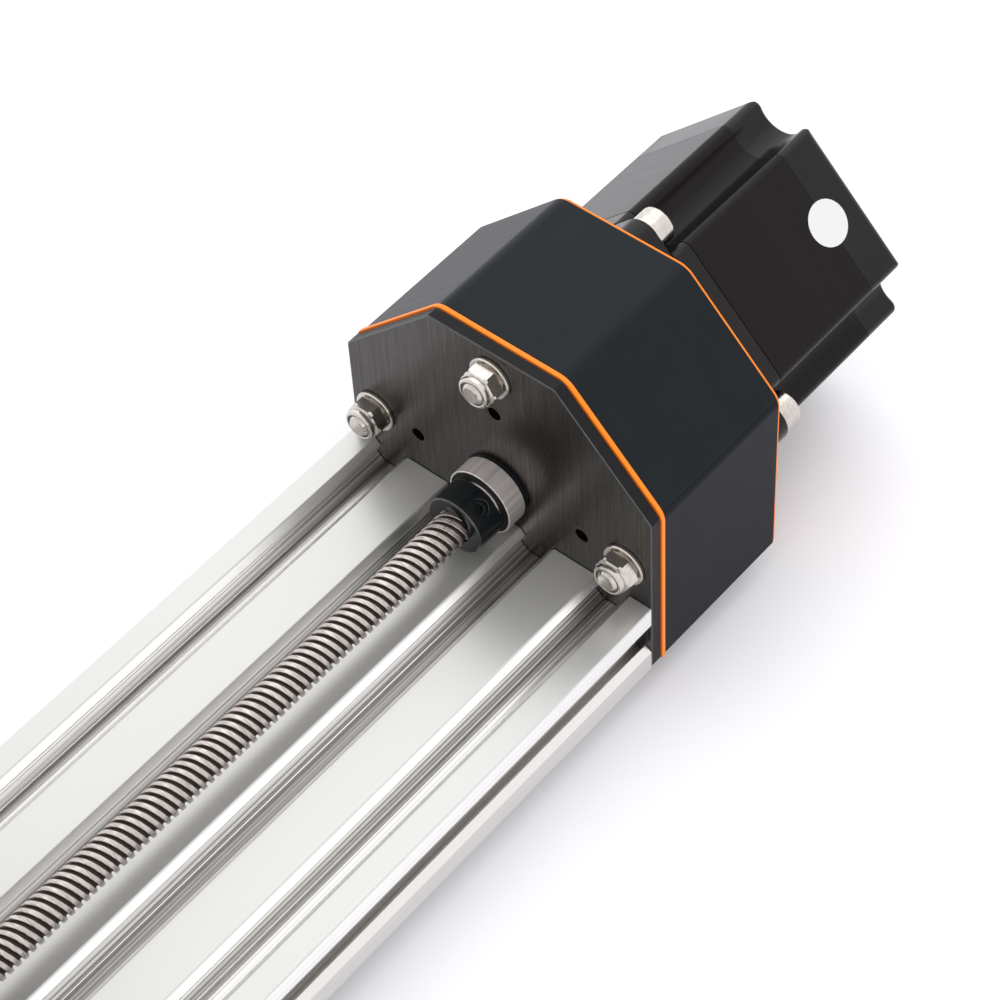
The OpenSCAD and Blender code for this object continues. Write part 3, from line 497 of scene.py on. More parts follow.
def fill_mesh(mesh, bm, sharp):
    """Writes the faces to the mesh, smooth but for edges that turn more than sharp degrees."""
    bm.to_mesh(mesh)
    bm.free()
    mesh.polygons.foreach_set("use_smooth", [True] * len(mesh.polygons))
    mesh.set_sharp_from_angle(angle=math.radians(sharp))
    return mesh


def make_piece(name, bm, finish, sharp=35):
    mesh = fill_mesh(bpy.data.meshes.new(name), bm, sharp)
    mesh.materials.append(finish.material)
    return place_object(name, mesh)


print("helpers ready")

# %% [markdown]
# ## Softened edges
# No real edge is perfectly sharp: a deburred plate or a cast bell has a small radius that draws
# a thin bright line in the light. The solid's mesh is copied and its doubled points are merged.
# Then every group of faces that a sharp edge surrounds is inset by the radius, which leaves a
# thin rim on each side of the edge, and the edge's own points are pulled in between the rims.
# Each flat face keeps its own normal, so that it stays flat up to the rim and only the edge
# catches the light.

# %% Soften a copy of a solid
NARROWEST_SHARE = 0.7   # the most of a narrow face's half width that its rims may take
PULL = 0.6              # how far an edge's points move in between the rims


def smooth_groups(bm, sharp):
    """The faces, in groups that only sharp edges part."""
    seen = set()
    groups = []
    for first in bm.faces:
        if first in seen:
            continue
        seen.add(first)
        group, waiting = [], [first]
        while waiting:
            face = waiting.pop()
            group.append(face)
            for edge in face.edges:
                if edge.calc_face_angle(0) < sharp:
                    fresh = [f for f in edge.link_faces if f not in seen]
                    seen.update(fresh)
                    waiting += fresh
        groups.append(group)
    return groups


def roll_edges(bm, radius, sharp):
    """Insets every smooth group, pulls in the points between them, and returns the rims."""
    rims = set()
    for group in smooth_groups(bm, sharp):
        border = sum(edge.calc_length() for face in group for edge in face.edges
                     if edge.calc_face_angle(0) >= sharp)
        if border > 0:
            area = sum(face.calc_area() for face in group)
            inset = bmesh.ops.inset_region(
                bm, faces=group, thickness=min(radius, NARROWEST_SHARE * area / border),
                use_boundary=True, use_even_offset=True)
            rims.update(inset["faces"])
    ridge = {v for v in bm.verts if all(f in rims for f in v.link_faces)}
    pulled = {}
    for v in ridge:
        beside = [e.other_vert(v).co for e in v.link_edges if e.other_vert(v) not in ridge]
        if len(beside) > 1:
            pulled[v] = v.co.lerp(sum(beside, Vector()) / len(beside), PULL)
    for v, place in pulled.items():
        v.co = place
    return rims


def soften(node, name, radius_mm, sharp=35, mesh=None):
    bm = bmesh.new()
    bm.from_mesh(mesh or frame["nodes"][node].data)
    bmesh.ops.remove_doubles(bm, verts=bm.verts, dist=WELD)
    rims = roll_edges(bm, radius_mm * MM, math.radians(sharp))
    bm.normal_update()
    normals = []
    for v in bm.verts:
        own = [f for f in v.link_faces if f not in rims] or v.link_faces
        normals.append(sum((f.normal * f.calc_area() for f in own), Vector()).normalized())
    piece = make_piece(name, bm, finish_of_node[node], sharp=180)
    piece.data.normals_split_custom_set_from_vertices(normals)
    stand_for(piece, node)
    print(name, len(piece.data.polygons), "faces, edges of", radius_mm, "mm")
    return piece


print("softening ready")

# %% [markdown]
# ## Beam, plates and housing
# The beam keeps crisp edges of less than a fifth of a millimetre, as an extrusion does. The cut
# plates are deburred a little more. The printed housing's ends are rounder, and so are the
# motor's castings.

# %% Soften the large pieces
beam_piece = soften("beam", "slotted_beam", 0.16)
drive_plate = soften("drive_end_plate", "drive_plate", 0.25)
soften("idler_plate", "idler_end_plate", 0.3)
soften("gantry_plate", "gantry", 0.3)
front_line = soften("front_liner", "orange_front_liner", 0.2)
soften("rear_liner", "orange_rear_liner", 0.15)
housing_piece = soften("coupler_housing", "printed_housing", 0.35)
soften("motor_front_bell", "motor_front", 0.3)
soften("motor_stack", "motor_sheets", 0.12)
soften("motor_socket", "lead_socket", 0.2)
soften("shaft_coupling", "split_coupling", 0.15)
soften("nut_block", "screw_nut_block", 0.3)
soften("eccentric_spacers", "eccentric_hexes", 0.3)
soften("motor_label", "bare_round_label", 0.05)
soften("motor_case_screws", "case_screws", 0.12)
drive_collar = soften("drive_lock_collar", "drive_collar", 0.10)
soften("idler_lock_collar", "idler_collar", 0.12)
soften("collar_set_screws", "set_screws", 0.12)
soften("wheel_spacers", "wheel_tubes", 0.2)

# %% [markdown]
# ## Faces with a finish of their own, painted highlights and painted shade
# One solid can show more than one surface. The end plate is anodised after its faces are brushed,
# so its sawn edge stays dull and dark. The rim between the two, and the lock collar's front rim,
# are painted brighter as a highlight where they catch the light. The beam is sawn after it is
# anodised, which leaves its ends grey. The front liner's face and the housing's side are painted
# darker as shade, on faces turned away from the light. Such faces are told apart by where they
# point and where they lie, and each kind takes a material slot of its own.

# %% Finishes for single faces
def painted_rim_highlight(name, dark, light, mark_mm, smooth, dull):
    finish = Finish(name, metallic=1.0)
    marks = finish.grain((mark_mm,) * 3, detail=2)
    finish.paint(marks, dark, light)
    finish.polish(finish.spread(marks, smooth, dull))
    return finish


plate_edge = Finish("dull_plate_edge", Specular_IOR_Level=0.12)
saw_lines = plate_edge.grain((0.3, 9, 0.3), detail=2)
plate_edge.paint(saw_lines, colour(0.006, 0.006, 0.007), colour(0.014, 0.014, 0.016))
plate_edge.polish(plate_edge.spread(saw_lines, 0.4, 0.5))
# Painted highlights: brighter metal for the rims of the plate and the collar.
plate_rim_highlight = painted_rim_highlight("rubbed_plate_rim", grey(0.06), grey(0.13), 1.5, 0.3, 0.4)
collar_rim_highlight = painted_rim_highlight("rubbed_collar_rim", colour(0.04, 0.046, 0.046), colour(0.11, 0.118, 0.112),
                    0.9, 0.25, 0.35)
# Painted shade: a darker orange for the front liner's face.
orange_painted_shade = printed("orange_face_in_shade", colour(0.62, 0.125, 0.003),
                       colour(0.76, 0.165, 0.004), roughness=0.5, gloss=0.2)
# Painted shade: a darker black for the housing's side that faces away from the lamp.
housing_side_painted_shade = printed("printed_black_side", colour(0.0040, 0.0055, 0.0080),
                     colour(0.0075, 0.0085, 0.0125), roughness=0.36, gloss=0.07)
sawn_end = metal("sawn_beam_end", grey(0.03), grey(0.09), (0.3, 0.3, 0.3), 0.4, 0.5, 0.004)
print(len(Finish.made), "finishes")

# %% Paint the faces
def off_screw(face):
    """How far a face's middle lies from the screw's axis."""
    return math.hypot(face.center.x, face.center.z - axis_height)


def paint_faces(piece, finish, chosen):
    slot = len(piece.data.materials)
    piece.data.materials.append(finish.material)
    faces = [face for face in piece.data.polygons if chosen(face)]
    for face in faces:
        face.material_index = slot
    print(piece.name, len(faces), "faces of", finish.material.name)


plate_inside = 30 * MM
collar_inside = 6.72 * MM
# Painted highlights on the plate's rim and, further down, on the collar's rim.
paint_faces(drive_plate, plate_rim_highlight,
            lambda f: off_screw(f) > plate_inside and 0.1 < abs(f.normal.y) < 0.95)
paint_faces(drive_plate, plate_edge,
            lambda f: off_screw(f) > plate_inside and abs(f.normal.y) <= 0.1)
paint_faces(drive_collar, collar_rim_highlight,
            lambda f: off_screw(f) > collar_inside and 0.1 < abs(f.normal.y) < 0.95)
# Painted shade on the front liner's face.
paint_faces(front_line, orange_painted_shade, lambda f: f.normal.y < -0.3)
# Painted shade on the housing's side.
paint_faces(housing_piece, housing_side_painted_shade, lambda f: f.normal.x > 0.9)
paint_faces(beam_piece, sawn_end, lambda f: abs(f.center.y) > high("beam").y - 0.2 * MM)

# %% [markdown]
# ## The motor's rear bell
# The rear bell is a casting whose rear edge is rounded all round, also where its outline turns
# into the channels for the bolts. Its outline is a flat and two arcs, mirrored round eight times.
# Insetting it only changes the arcs' radii, so a stack of outlines makes the rounded edge, and a
# Boolean keeps the screw holes and the hollow inside from the solid.

# %% The motor's outline
def arc(centre, radius, start, stop, steps):
    turns = [math.radians(start + (stop - start) * i / steps) for i in range(steps + 1)]
    return [(centre[0] + radius * math.cos(t), centre[1] + radius * math.sin(t)) for t in turns]


def motor_outline(inset):
    """The outline in the motor's own square frame, in millimetres, set in by some distance."""
    ridge_x = motor_half - ridge_radius
    ridge_y = bolt - math.sqrt((channel_radius + ridge_radius) ** 2 - (bolt - ridge_x) ** 2)
    meet = math.degrees(math.atan2(bolt - ridge_y, bolt - ridge_x))
    eighth = (arc((ridge_x, ridge_y), ridge_radius - inset, 0, meet, 10)
              + arc((bolt, bolt), channel_radius + inset, meet + 180, 225, 8)[:-1])
    middle = bolt - (channel_radius + inset) * math.sqrt(0.5)
    quarter = eighth + [(middle, middle)] + [(b, a) for a, b in reversed(eighth)]
    corners = []
    for turn in range(4):
        c, s = round(math.cos(turn * math.pi / 2)), round(math.sin(turn * math.pi / 2))
        corners += [(a * c - b * s, a * s + b * c) for a, b in quarter]
    return corners


washer_radius = 5.0
motor_flats = [abs(v.co.x) + abs(v.co.z - axis_height) for v in
               frame["nodes"]["motor_stack"].data.vertices]
motor_half = max(motor_flats) * math.sqrt(0.5) / MM
bolt = (high("motor_washers").x / MM - washer_radius) * math.sqrt(0.5)
ridge_radius, channel_radius, rear_radius = 2.0, 5.8, 1.0
print(f"motor {2 * motor_half:.1f} mm wide, {len(motor_outline(0))} points round")

# %% Round the rear bell and cut the solid's holes into it
def skin(bm, rows, closed=False):
    """Faces between rows of points. The ends are filled, or the last row meets the first."""
    pairs = list(zip(rows, rows[1:])) + ([(rows[-1], rows[0])] if closed else [])
    for first, second in pairs:
        for i in range(len(first)):
            j = (i + 1) % len(first)
            bm.faces.new((first[i], first[j], second[j], second[i]))
    if not closed:
        bm.faces.new(rows[0])
        bm.faces.new(rows[-1])


rear_start, rear_end = low("motor_rear_bell").y / MM, high("motor_rear_bell").y / MM
rear_turns = [i * math.pi / 16 for i in range(9)]
sections = [(rear_start - 1, 0.0)] + [
    (rear_end - rear_radius * (1 - math.sin(t)), rear_radius * (1 - math.cos(t)))
    for t in rear_turns]
bm = bmesh.new()
skin(bm, [[bm.verts.new(((a - b) * math.sqrt(0.5) * MM, y * MM,
                         (a + b) * math.sqrt(0.5) * MM + axis_height))
           for a, b in motor_outline(inset)] for y, inset in sections])
bmesh.ops.recalc_face_normals(bm, faces=bm.faces)
rolled = make_piece("rolled_bell", bm, enamel)
kept = place_object("bell_with_holes", frame["nodes"]["motor_rear_bell"].data.copy())
weld = kept.modifiers.new("weld", "WELD")
weld.merge_threshold = WELD
common = kept.modifiers.new("keep_common", "BOOLEAN")
common.operation = "INTERSECT"
common.object = rolled
common.solver = "EXACT"
rounded_bell = bpy.data.meshes.new_from_object(
    kept.evaluated_get(bpy.context.evaluated_depsgraph_get()))
for helper in (kept, rolled):
    bpy.data.objects.remove(helper)
soften("motor_rear_bell", "motor_rear", 0.08, mesh=rounded_bell)

# %% [markdown]
# ## Rings that are turned on a lathe
# Bearing rings, washers and wheels are turned: one outline goes round an axis. Building the rings
# of points directly keeps the outline exact, and a few more points at each corner give the small
# chamfer that a lathe tool or a grinding wheel leaves. The same helper makes hexagons, because a
# hexagon is only a ring whose radius changes with the angle, and a nut's chamfered corners are
# where a cone limits that radius.

# %% Build a shell from rings
STEPS = 48
FINE_STEPS = 96
CORNER_WEIGHT = 1.2     # how far a corner's middle point is held out towards the sharp corner


class Ring:
    """A ring of points, in millimetres: round, or a hexagon that a radius may limit."""

    def __init__(self, height, radius=None, flats=None):
        self.height = height
        self.radius = radius
        self.flats = flats

    def reach(self, angle):
        if self.flats is None:
            return self.radius
        side = self.flats / 2 / math.cos(angle % (math.pi / 3) - math.pi / 6)
        return side if self.radius is None else min(side, self.radius)


def shell(bm, rings, closed=False, steps=STEPS):
    angles = [2 * math.pi * i / steps for i in range(steps)]
    rows = []
    for ring in rings:
        rows.append([bm.verts.new((ring.reach(a) * math.cos(a) * MM,
                                   ring.reach(a) * math.sin(a) * MM,
                                   ring.height * MM)) for a in angles])
    skin(bm, rows, closed)


def eased(outline, cut):
    """Rings for a closed outline of radius and height pairs, with each corner cut back twice."""
    points = []
    for i, (r, h) in enumerate(outline):
        corner = Vector((r, h))
        before = Vector(outline[i - 1]) - corner
        after = Vector(outline[(i + 1) % len(outline)]) - corner
        start = corner + before.normalized() * min(cut, before.length * 0.45)
        stop = corner + after.normalized() * min(cut, after.length * 0.45)
        points += [start, (start + stop + corner * CORNER_WEIGHT) / (2 + CORNER_WEIGHT), stop]
    return [Ring(p.y, p.x) for p in points]


def ring_outline(inner, outer, bottom, top):
    return [(inner, bottom), (outer, bottom), (outer, top), (inner, top)]


def clean_shell(bm):
    bmesh.ops.remove_doubles(bm, verts=bm.verts, dist=WELD / 2)
    bmesh.ops.recalc_face_normals(bm, faces=bm.faces)


def turned(name, outlines, finish, place, cut, sharp):
    """Closed outlines, each turned about the place's own Z axis, as one piece."""
    bm = bmesh.new()
    for outline in outlines:
        shell(bm, eased(outline, cut), closed=True, steps=FINE_STEPS)
    bmesh.ops.transform(bm, matrix=place, verts=bm.verts)
    clean_shell(bm)
    piece = make_piece(name, bm, finish, sharp)
    print(name, len(piece.data.polygons), "faces")
    return piece


print("lathe ready")

# %% [markdown]
# ## Bearings on the screw
# A ball bearing shows two ground rings with a dark shield sunk between them. Each ring's corners
# are chamfered, and the front chamfer is the brightest line at the drive end. A groove inside the
# outer ring's thin lip holds the shield's crimped edge, and its faces take the dark seal finish as
# painted shade in the groove. The balls and the shields are seen only in the gap, so their plain
# solids stay.

# %% Turn the bearing rings
def grooved_outline(inner, outer, bottom, top, lip=0.4, depth=0.45):
    """A ring with a groove for the shield at each side, inside a thin lip."""
    return [(inner, bottom + depth), (outer - lip, bottom + depth), (outer - lip, bottom),
            (outer, bottom), (outer, top), (outer - lip, top), (outer - lip, top - depth),
            (inner, top - depth)]


def bearing_rings(name, outlines, node, cut):
    piece = turned(name, outlines, finish_of_node[node], on_screw, cut, sharp=15)
    return stand_for(piece, node)


on_screw = Matrix.Translation((0, 0, axis_height)) @ Matrix.Rotation(math.radians(-90), 4, "X")
bearing_outer = high("drive_bearing_outer_rings").x / MM
bearing_width = (high("idler_bearing_outer_ring").y - low("idler_bearing_outer_ring").y) / MM
front_y = low("drive_bearing_outer_rings").y / MM
rear_y = high("drive_bearing_outer_rings").y / MM - bearing_width
idler_y = low("idler_bearing_outer_ring").y / MM
recess = 0.5
painted_shade_radius = (bearing_outer - 0.35) * MM
drive_spans = [(front_y, front_y + bearing_width), (rear_y + recess, rear_y + bearing_width)]
idler_span = [(idler_y, idler_y + bearing_width)]
for name, node, spans in (
        ("drive_bearing_shells", "drive_bearing_outer_rings", drive_spans),
        ("idler_bearing_shell", "idler_bearing_outer_ring", idler_span)):
    outlines = [grooved_outline(bearing_outer - 1, bearing_outer, a, b) for a, b in spans]
    shells = bearing_rings(name, outlines, node, cut=0.12)
    # Painted shade: the groove's faces take the dark seal finish.
    paint_faces(shells, seal, lambda f: off_screw(f) < painted_shade_radius)
bearing_rings("bearing_cores", [ring_outline(4.0, 5.0, a, b) for a, b in drive_spans + idler_span],
              "bearing_inner_rings", cut=0.2)

# %% [markdown]
# ## Wheels
# Each wheel is acetal turned to a V that runs in the beam's side slot. A shallow groove round
# each side face saves plastic and is the mark of a moulded and turned wheel. A wheel rides on its
# own body, so every wheel is a separate piece, and so are its two bearings' rings and shields.

# %% Turn the wheels and their bearings
def middle_of(node):
    return (low(node) + high(node)) / 2


def turned_at(name, outlines, node, finish, cut):
    place = Matrix.Translation(middle_of(node))
    return turned(name, outlines, finish, place, cut, sharp=20)


wheel_outer = (high("wheel_front_left").x - low("wheel_front_left").x) / 2 / MM
wheel_half = (high("wheel_front_left").z - low("wheel_front_left").z) / 2 / MM
bearing_top = (high("wheel_front_left_bearings").z - low("wheel_front_left_bearings").z) / 2 / MM
tip_half = 2.04
shoulder = 9.53
flank = tip_half + wheel_outer - shoulder
groove_floor = wheel_half - 0.35
seat, bore, core_half = 8.0, 7.0, 0.5
upper_side = [(shoulder, flank), (shoulder, wheel_half), (8.9, wheel_half), (8.75, groove_floor),
              (8.45, groove_floor), (8.3, wheel_half), (seat, wheel_half), (seat, core_half),
              (bore, core_half)]
lower_side = [(r, -h) for r, h in reversed(upper_side)]
wheel_outline = [(wheel_outer, -tip_half), (wheel_outer, tip_half)] + upper_side + lower_side
wheel_ring_outlines = [ring_outline(bore, seat, -bearing_top, -core_half),
                       ring_outline(bore, seat, core_half, bearing_top)]
sunk = ([(start + 0.3, start + 0.6) for start in (-bearing_top, core_half)]
        + [(stop - 0.6, stop - 0.3) for stop in (-core_half, bearing_top)])
shield_outlines = [ring_outline(3.85, bore, a, b) for a, b in sunk]
for corner_name in ("front_left", "front_right", "rear_left", "rear_right"):
    node = "wheel_" + corner_name
    stand_for(turned_at("v_" + node, [wheel_outline], node, black_acetal, 0.15), node)
    bearings = node + "_bearings"
    stand_for(turned_at(node + "_rings", wheel_ring_outlines, bearings, bearing, 0.2), bearings)
    go_with(turned_at(node + "_shields", shield_outlines, bearings, seal, 0.05), bearings)
print("wheels: four, tread", wheel_outer, "mm in radius")

# %% [markdown]
# ## Shapes that follow a rule
# The thread and the patterns of fasteners each follow a simple rule, so they are made by Geometry
# Nodes. A tree names its inputs, ends by making every copy real and giving it a material, and is
# baked to a plain mesh, so that the finished piece carries no modifier.

# %% Helpers for node trees
def new_tree(name, inputs):
    tree = bpy.data.node_groups.new(name, "GeometryNodeTree")
    tree.interface.new_socket("Geometry", in_out="INPUT", socket_type="NodeSocketGeometry")
    for label_text, kind in inputs:
        tree.interface.new_socket(label_text, in_out="INPUT", socket_type=kind)
    tree.interface.new_socket("Geometry", in_out="OUTPUT", socket_type="NodeSocketGeometry")
    graph = Graph(tree)
    entry = tree.nodes.new("NodeGroupInput")
    source = {socket.name: Wire(graph, socket) for socket in entry.outputs if socket.name}
    return graph, source


def end_tree(graph, geometry, material):
    solid = graph.add("GeometryNodeRealizeInstances", values={"Geometry": geometry})
    painted = graph.add("GeometryNodeSetMaterial", values={"Geometry": solid, "Material": material})
    leave = graph.tree.nodes.new("NodeGroupOutput")
    graph.tree.links.new(painted.socket, leave.inputs[0])
    return graph.tree


def bake(name, start_mesh, tree, values):
    """Runs the tree on a mesh with the named values, and returns a plain object."""
    piece = place_object(name, start_mesh)
    step = piece.modifiers.new(tree.name, "NODES")
    step.node_group = tree
    for socket in tree.interface.items_tree:
        if socket.item_type == "SOCKET" and socket.in_out == "INPUT" and socket.name in values:
            step[socket.identifier] = values[socket.name]
    result = piece.evaluated_get(bpy.context.evaluated_depsgraph_get())
    mesh = bpy.data.meshes.new_from_object(result)
    mesh.name = name
    piece.modifiers.clear()
    piece.data = mesh
    print(f"{name}: {len(mesh.polygons)} faces from {tree.name}")
    return piece


print("tree helpers ready")

# %% [markdown]
# ## The screw's thread
# The thread is one tooth outline, repeated at the pitch, that slides along the axis while it
# turns about it. Here four threads run side by side, two millimetres apart, and each climbs eight
# millimetres in a turn. The outline is a row of points, a Grid gives one column of points for
# every step round the rod, and Set Position winds the grid up. The two edges of the grid meet,
# and Merge by Distance closes the seam.

# %% A tree for winding a tooth outline into a thread
graph, given = new_tree("wind_thread", [
    ("Rows", "NodeSocketInt"), ("Steps", "NodeSocketInt"), ("Lead", "NodeSocketFloat"),
    ("Height", "NodeSocketFloat"), ("Material", "NodeSocketMaterial")])
columns = given["Steps"] + 1
sheet = graph.add("GeometryNodeMeshGrid", values={
    "Size X": 1.0, "Size Y": 1.0, "Vertices X": given["Rows"], "Vertices Y": columns})
number = graph.add("GeometryNodeInputIndex")
column = number.remainder(columns)
row = (number / columns).floor()
outline_place = graph.add("GeometryNodeInputPosition")
tooth = graph.add("GeometryNodeSampleIndex", {"data_type": "FLOAT_VECTOR", "domain": "POINT"}, {
    "Geometry": given["Geometry"], "Value": outline_place, "Index": row})
parts = graph.add("ShaderNodeSeparateXYZ", values={"Vector": tooth}).socket.node
tooth_radius, tooth_along = (Wire(graph, parts.outputs[i]) for i in (0, 1))
angle = column / given["Steps"] * (2 * math.pi)
wound = graph.add("ShaderNodeCombineXYZ", values={
    "X": tooth_radius * angle.sine(),
    "Y": tooth_along + given["Lead"] * column / given["Steps"],
    "Z": tooth_radius * angle.cosine() + given["Height"]})
placed = graph.add("GeometryNodeSetPosition", values={"Geometry": sheet, "Position": wound})
welded = graph.add("GeometryNodeMergeByDistance", values={"Geometry": placed, "Distance": WELD})
thread_tree = end_tree(graph, welded, given["Material"])
print("thread tree:", len(thread_tree.nodes), "nodes")

# %% [markdown]
# The outline has eight points for each tooth: the groove's floor, the steep flanks, and a crest
# with its corners rounded by the rolling. It starts a whole lead before the rod's end, because
# the wound edge is slanted, and two cuts then square the ends, which are filled.

# %% Wind the lead screw
pitch, lead, root, crest_radius = 2.0, 8.0, 3.18, 3.98
fillet, rounding = root + 0.12, crest_radius - 0.08
tooth_points = [(0.00, root), (0.09, fillet), (0.16, rounding), (0.22, crest_radius),
                (0.66, crest_radius), (0.72, rounding), (0.79, fillet), (0.88, root)]
rod_start, rod_end = low("lead_screw").y / MM, high("lead_screw").y / MM
teeth = math.ceil((rod_end - rod_start + 2 * lead) / pitch) + 1
outline_points = [(r, rod_start - lead - 1 + pitch * (tooth + share))
                  for tooth in range(teeth) for share, r in tooth_points]
outline_mesh = bpy.data.meshes.new("tooth_outline")
outline_mesh.from_pydata([(r * MM, y * MM, 0) for r, y in outline_points], [], [])
screw_piece = bake("threaded_rod", outline_mesh, thread_tree, {
    "Rows": len(outline_points), "Steps": 40, "Lead": lead * MM, "Height": axis_height,
    "Material": thread_steel.material})

bm = bmesh.new()
bm.from_mesh(screw_piece.data)
for end, outward in ((rod_start, -1), (rod_end, 1)):
    cut = bmesh.ops.bisect_plane(bm, geom=bm.verts[:] + bm.edges[:] + bm.faces[:],
                                 dist=0.0001 * MM, plane_co=(0, end * MM, 0),
                                 plane_no=(0, outward, 0), clear_outer=True)
    rim = [e for e in cut["geom_cut"] if isinstance(e, bmesh.types.BMEdge)]
    bmesh.ops.edgenet_fill(bm, edges=rim)
bmesh.ops.triangulate(bm, faces=[f for f in bm.faces if len(f.verts) > 4])
bmesh.ops.recalc_face_normals(bm, faces=bm.faces)
fill_mesh(screw_piece.data, bm, sharp=20)
stand_for(screw_piece, "lead_screw")
print("threaded rod:", len(screw_piece.data.polygons), "faces,", teeth, "teeth")

# %% [markdown]
# ## Patterns of fasteners
# The same nut, washer or screw sits at three places round the motor, or at four places in a grid.
# One is modelled with care, as the tree's input, and the tree puts it at each point of the
# pattern. There are two rules: points round a circle a fixed angle apart, and points in a grid.

# %% Two trees that repeat a fastener
def repeat_at(graph, given, count, place):
    """Puts the input mesh at a place for each point, and ends the tree."""
    spots = graph.add("ShaderNodeVectorMath", {"operation": "ADD"}, {0: place, 1: given["Centre"]})
    points = graph.add("GeometryNodePoints", values={"Count": count, "Position": spots})
    copies = graph.add("GeometryNodeInstanceOnPoints", values={
        "Points": points, "Instance": given["Geometry"]})
    return end_tree(graph, copies, given["Material"])


graph, given = new_tree("repeat_round_screw", [
    ("Count", "NodeSocketInt"), ("Ring radius", "NodeSocketFloat"), ("Step", "NodeSocketFloat"),
    ("Centre", "NodeSocketVector"), ("Material", "NodeSocketMaterial")])
turned_by = graph.add("GeometryNodeInputIndex") * given["Step"]
around = graph.add("ShaderNodeCombineXYZ", values={
    "X": given["Ring radius"] * turned_by.cosine(), "Z": given["Ring radius"] * turned_by.sine()})
round_tree = repeat_at(graph, given, given["Count"], around)

graph, given = new_tree("repeat_in_grid", [
    ("Across", "NodeSocketInt"), ("Along", "NodeSocketInt"), ("Pitch across", "NodeSocketFloat"),
    ("Pitch along", "NodeSocketFloat"), ("Centre", "NodeSocketVector"),
    ("Material", "NodeSocketMaterial")])
number = graph.add("GeometryNodeInputIndex")
column = number.remainder(given["Across"])
row = (number / given["Across"]).floor()
spot = graph.add("ShaderNodeCombineXYZ", values={
    "X": (column - (given["Across"] - 1) / 2) * given["Pitch across"],
    "Y": (row - (given["Along"] - 1) / 2) * given["Pitch along"]})
grid_tree = repeat_at(graph, given, given["Across"] * given["Along"], spot)
print("patterns:", round_tree.name, "and", grid_tree.name)

# %% [markdown]
# ## One nut, one washer and two screws
# Each fastener is a stack of rings. The lock nut is a hexagon with its corners turned off, then a
# round metal collar crimped over a clear nylon ring, which is a piece of its own and is painted dark
# as the shade under the collar. A cap screw has a tall round head and a button screw a low dome,
# both with a hexagon socket. A real washer is punched, so one of its edges is rounder. Every outline
# starts from the face that the fastener seats on, and heads reach below zero.

# %% Model the fasteners once
nut_flats = 8.0
shank = 2.5
cap_head_height = 5.0
button_head_height, button_head_radius = 2.75, 4.75


def fastener_mesh(name, rings, turn, closed):
    bm = bmesh.new()
    shell(bm, rings, closed)
    clean_shell(bm)
    bmesh.ops.transform(bm, matrix=turn, verts=bm.verts)
    return fill_mesh(bpy.data.meshes.new(name), bm, sharp=20)


def lock_nut_rings():
    hexagon = [Ring(height, radius, nut_flats) for height, radius in (
        (0.0, 3.55), (0.22, 3.65), (0.62, 4.62), (2.85, 4.62), (3.3, 4.3), (3.6, 3.85))]
    collar = [Ring(height, radius) for height, radius in (
        (3.66, 3.62), (4.4, 3.68), (4.72, 3.6), (4.93, 3.38), (5.0, 3.1), (4.93, 2.9),
        (4.7, 2.84), (4.2, 2.82))]
    return [Ring(0.0, 2.7)] + hexagon + collar + [Ring(4.0, 2.55), Ring(0.35, 2.55)]


def nylon_rings():
    return [Ring(4.1, 2.53), Ring(4.1, 2.8), Ring(4.68, 2.8), Ring(4.78, 2.72), Ring(4.72, 2.56)]


def washer_rings():
    return [Ring(0.0, 2.6), Ring(0.0, 4.85), Ring(0.15, washer_radius), Ring(0.7, washer_radius),
            Ring(0.92, 4.9), Ring(1.0, 4.7), Ring(1.0, 2.75), Ring(0.85, 2.6)]


def cap_screw_rings(length):
    top = -cap_head_height
    return [Ring(-2.5, 1.6), Ring(-2.5, flats=4.0), Ring(-4.8, flats=4.0), Ring(top, 2.45),
            Ring(top, 3.75), Ring(-4.9, 4.02), Ring(-4.68, 4.18), Ring(-4.4, 4.25),
            Ring(-0.15, 4.25), Ring(0.0, 4.1), Ring(0.0, shank), Ring(length - 0.7, shank),
            Ring(length - 0.12, 2.05), Ring(length, 1.85)]


def button_screw_rings(length):
    ball = 6.64
    dome = [Ring(ball - button_head_height - math.sqrt(ball ** 2 - r ** 2), r)
            for r in (1.85, 2.6, 3.3, 3.9, 4.4, 4.68)]
    return ([Ring(-1.1, 1.2), Ring(-1.1, flats=2.6), Ring(-2.45, flats=2.6)] + dome
            + [Ring(-0.72, button_head_radius), Ring(-0.1, button_head_radius), Ring(0.0, 4.65),
               Ring(0.0, shank), Ring(length - 0.6, shank), Ring(length, 1.9)])


print("nut:", len(lock_nut_rings()), "rings")

# %% [markdown]
# ## The motor's bolts
# Three long bolts run from the motor's flange through the housing and the end plate, and a washer
# and a lock nut close each one. They stand at quarter turns round the screw's axis, so the round
# pattern repeats them. The fourth corner hangs below the beam, and its hole stays empty.

# %% Repeat the motor's fasteners
FORWARD = Matrix.Rotation(math.radians(90), 4, "X")
bolt_ring = (high("motor_washers").x - low("motor_washers").x) / 2 - washer_radius * MM


def round_motor(name, rings, seat, finish, closed=True):
    one = fastener_mesh(name + "_one", rings, FORWARD, closed)
    return bake(name, one, round_tree, {
        "Count": 3, "Ring radius": bolt_ring, "Step": math.pi / 2,
        "Centre": (0, seat, axis_height), "Material": finish.material})


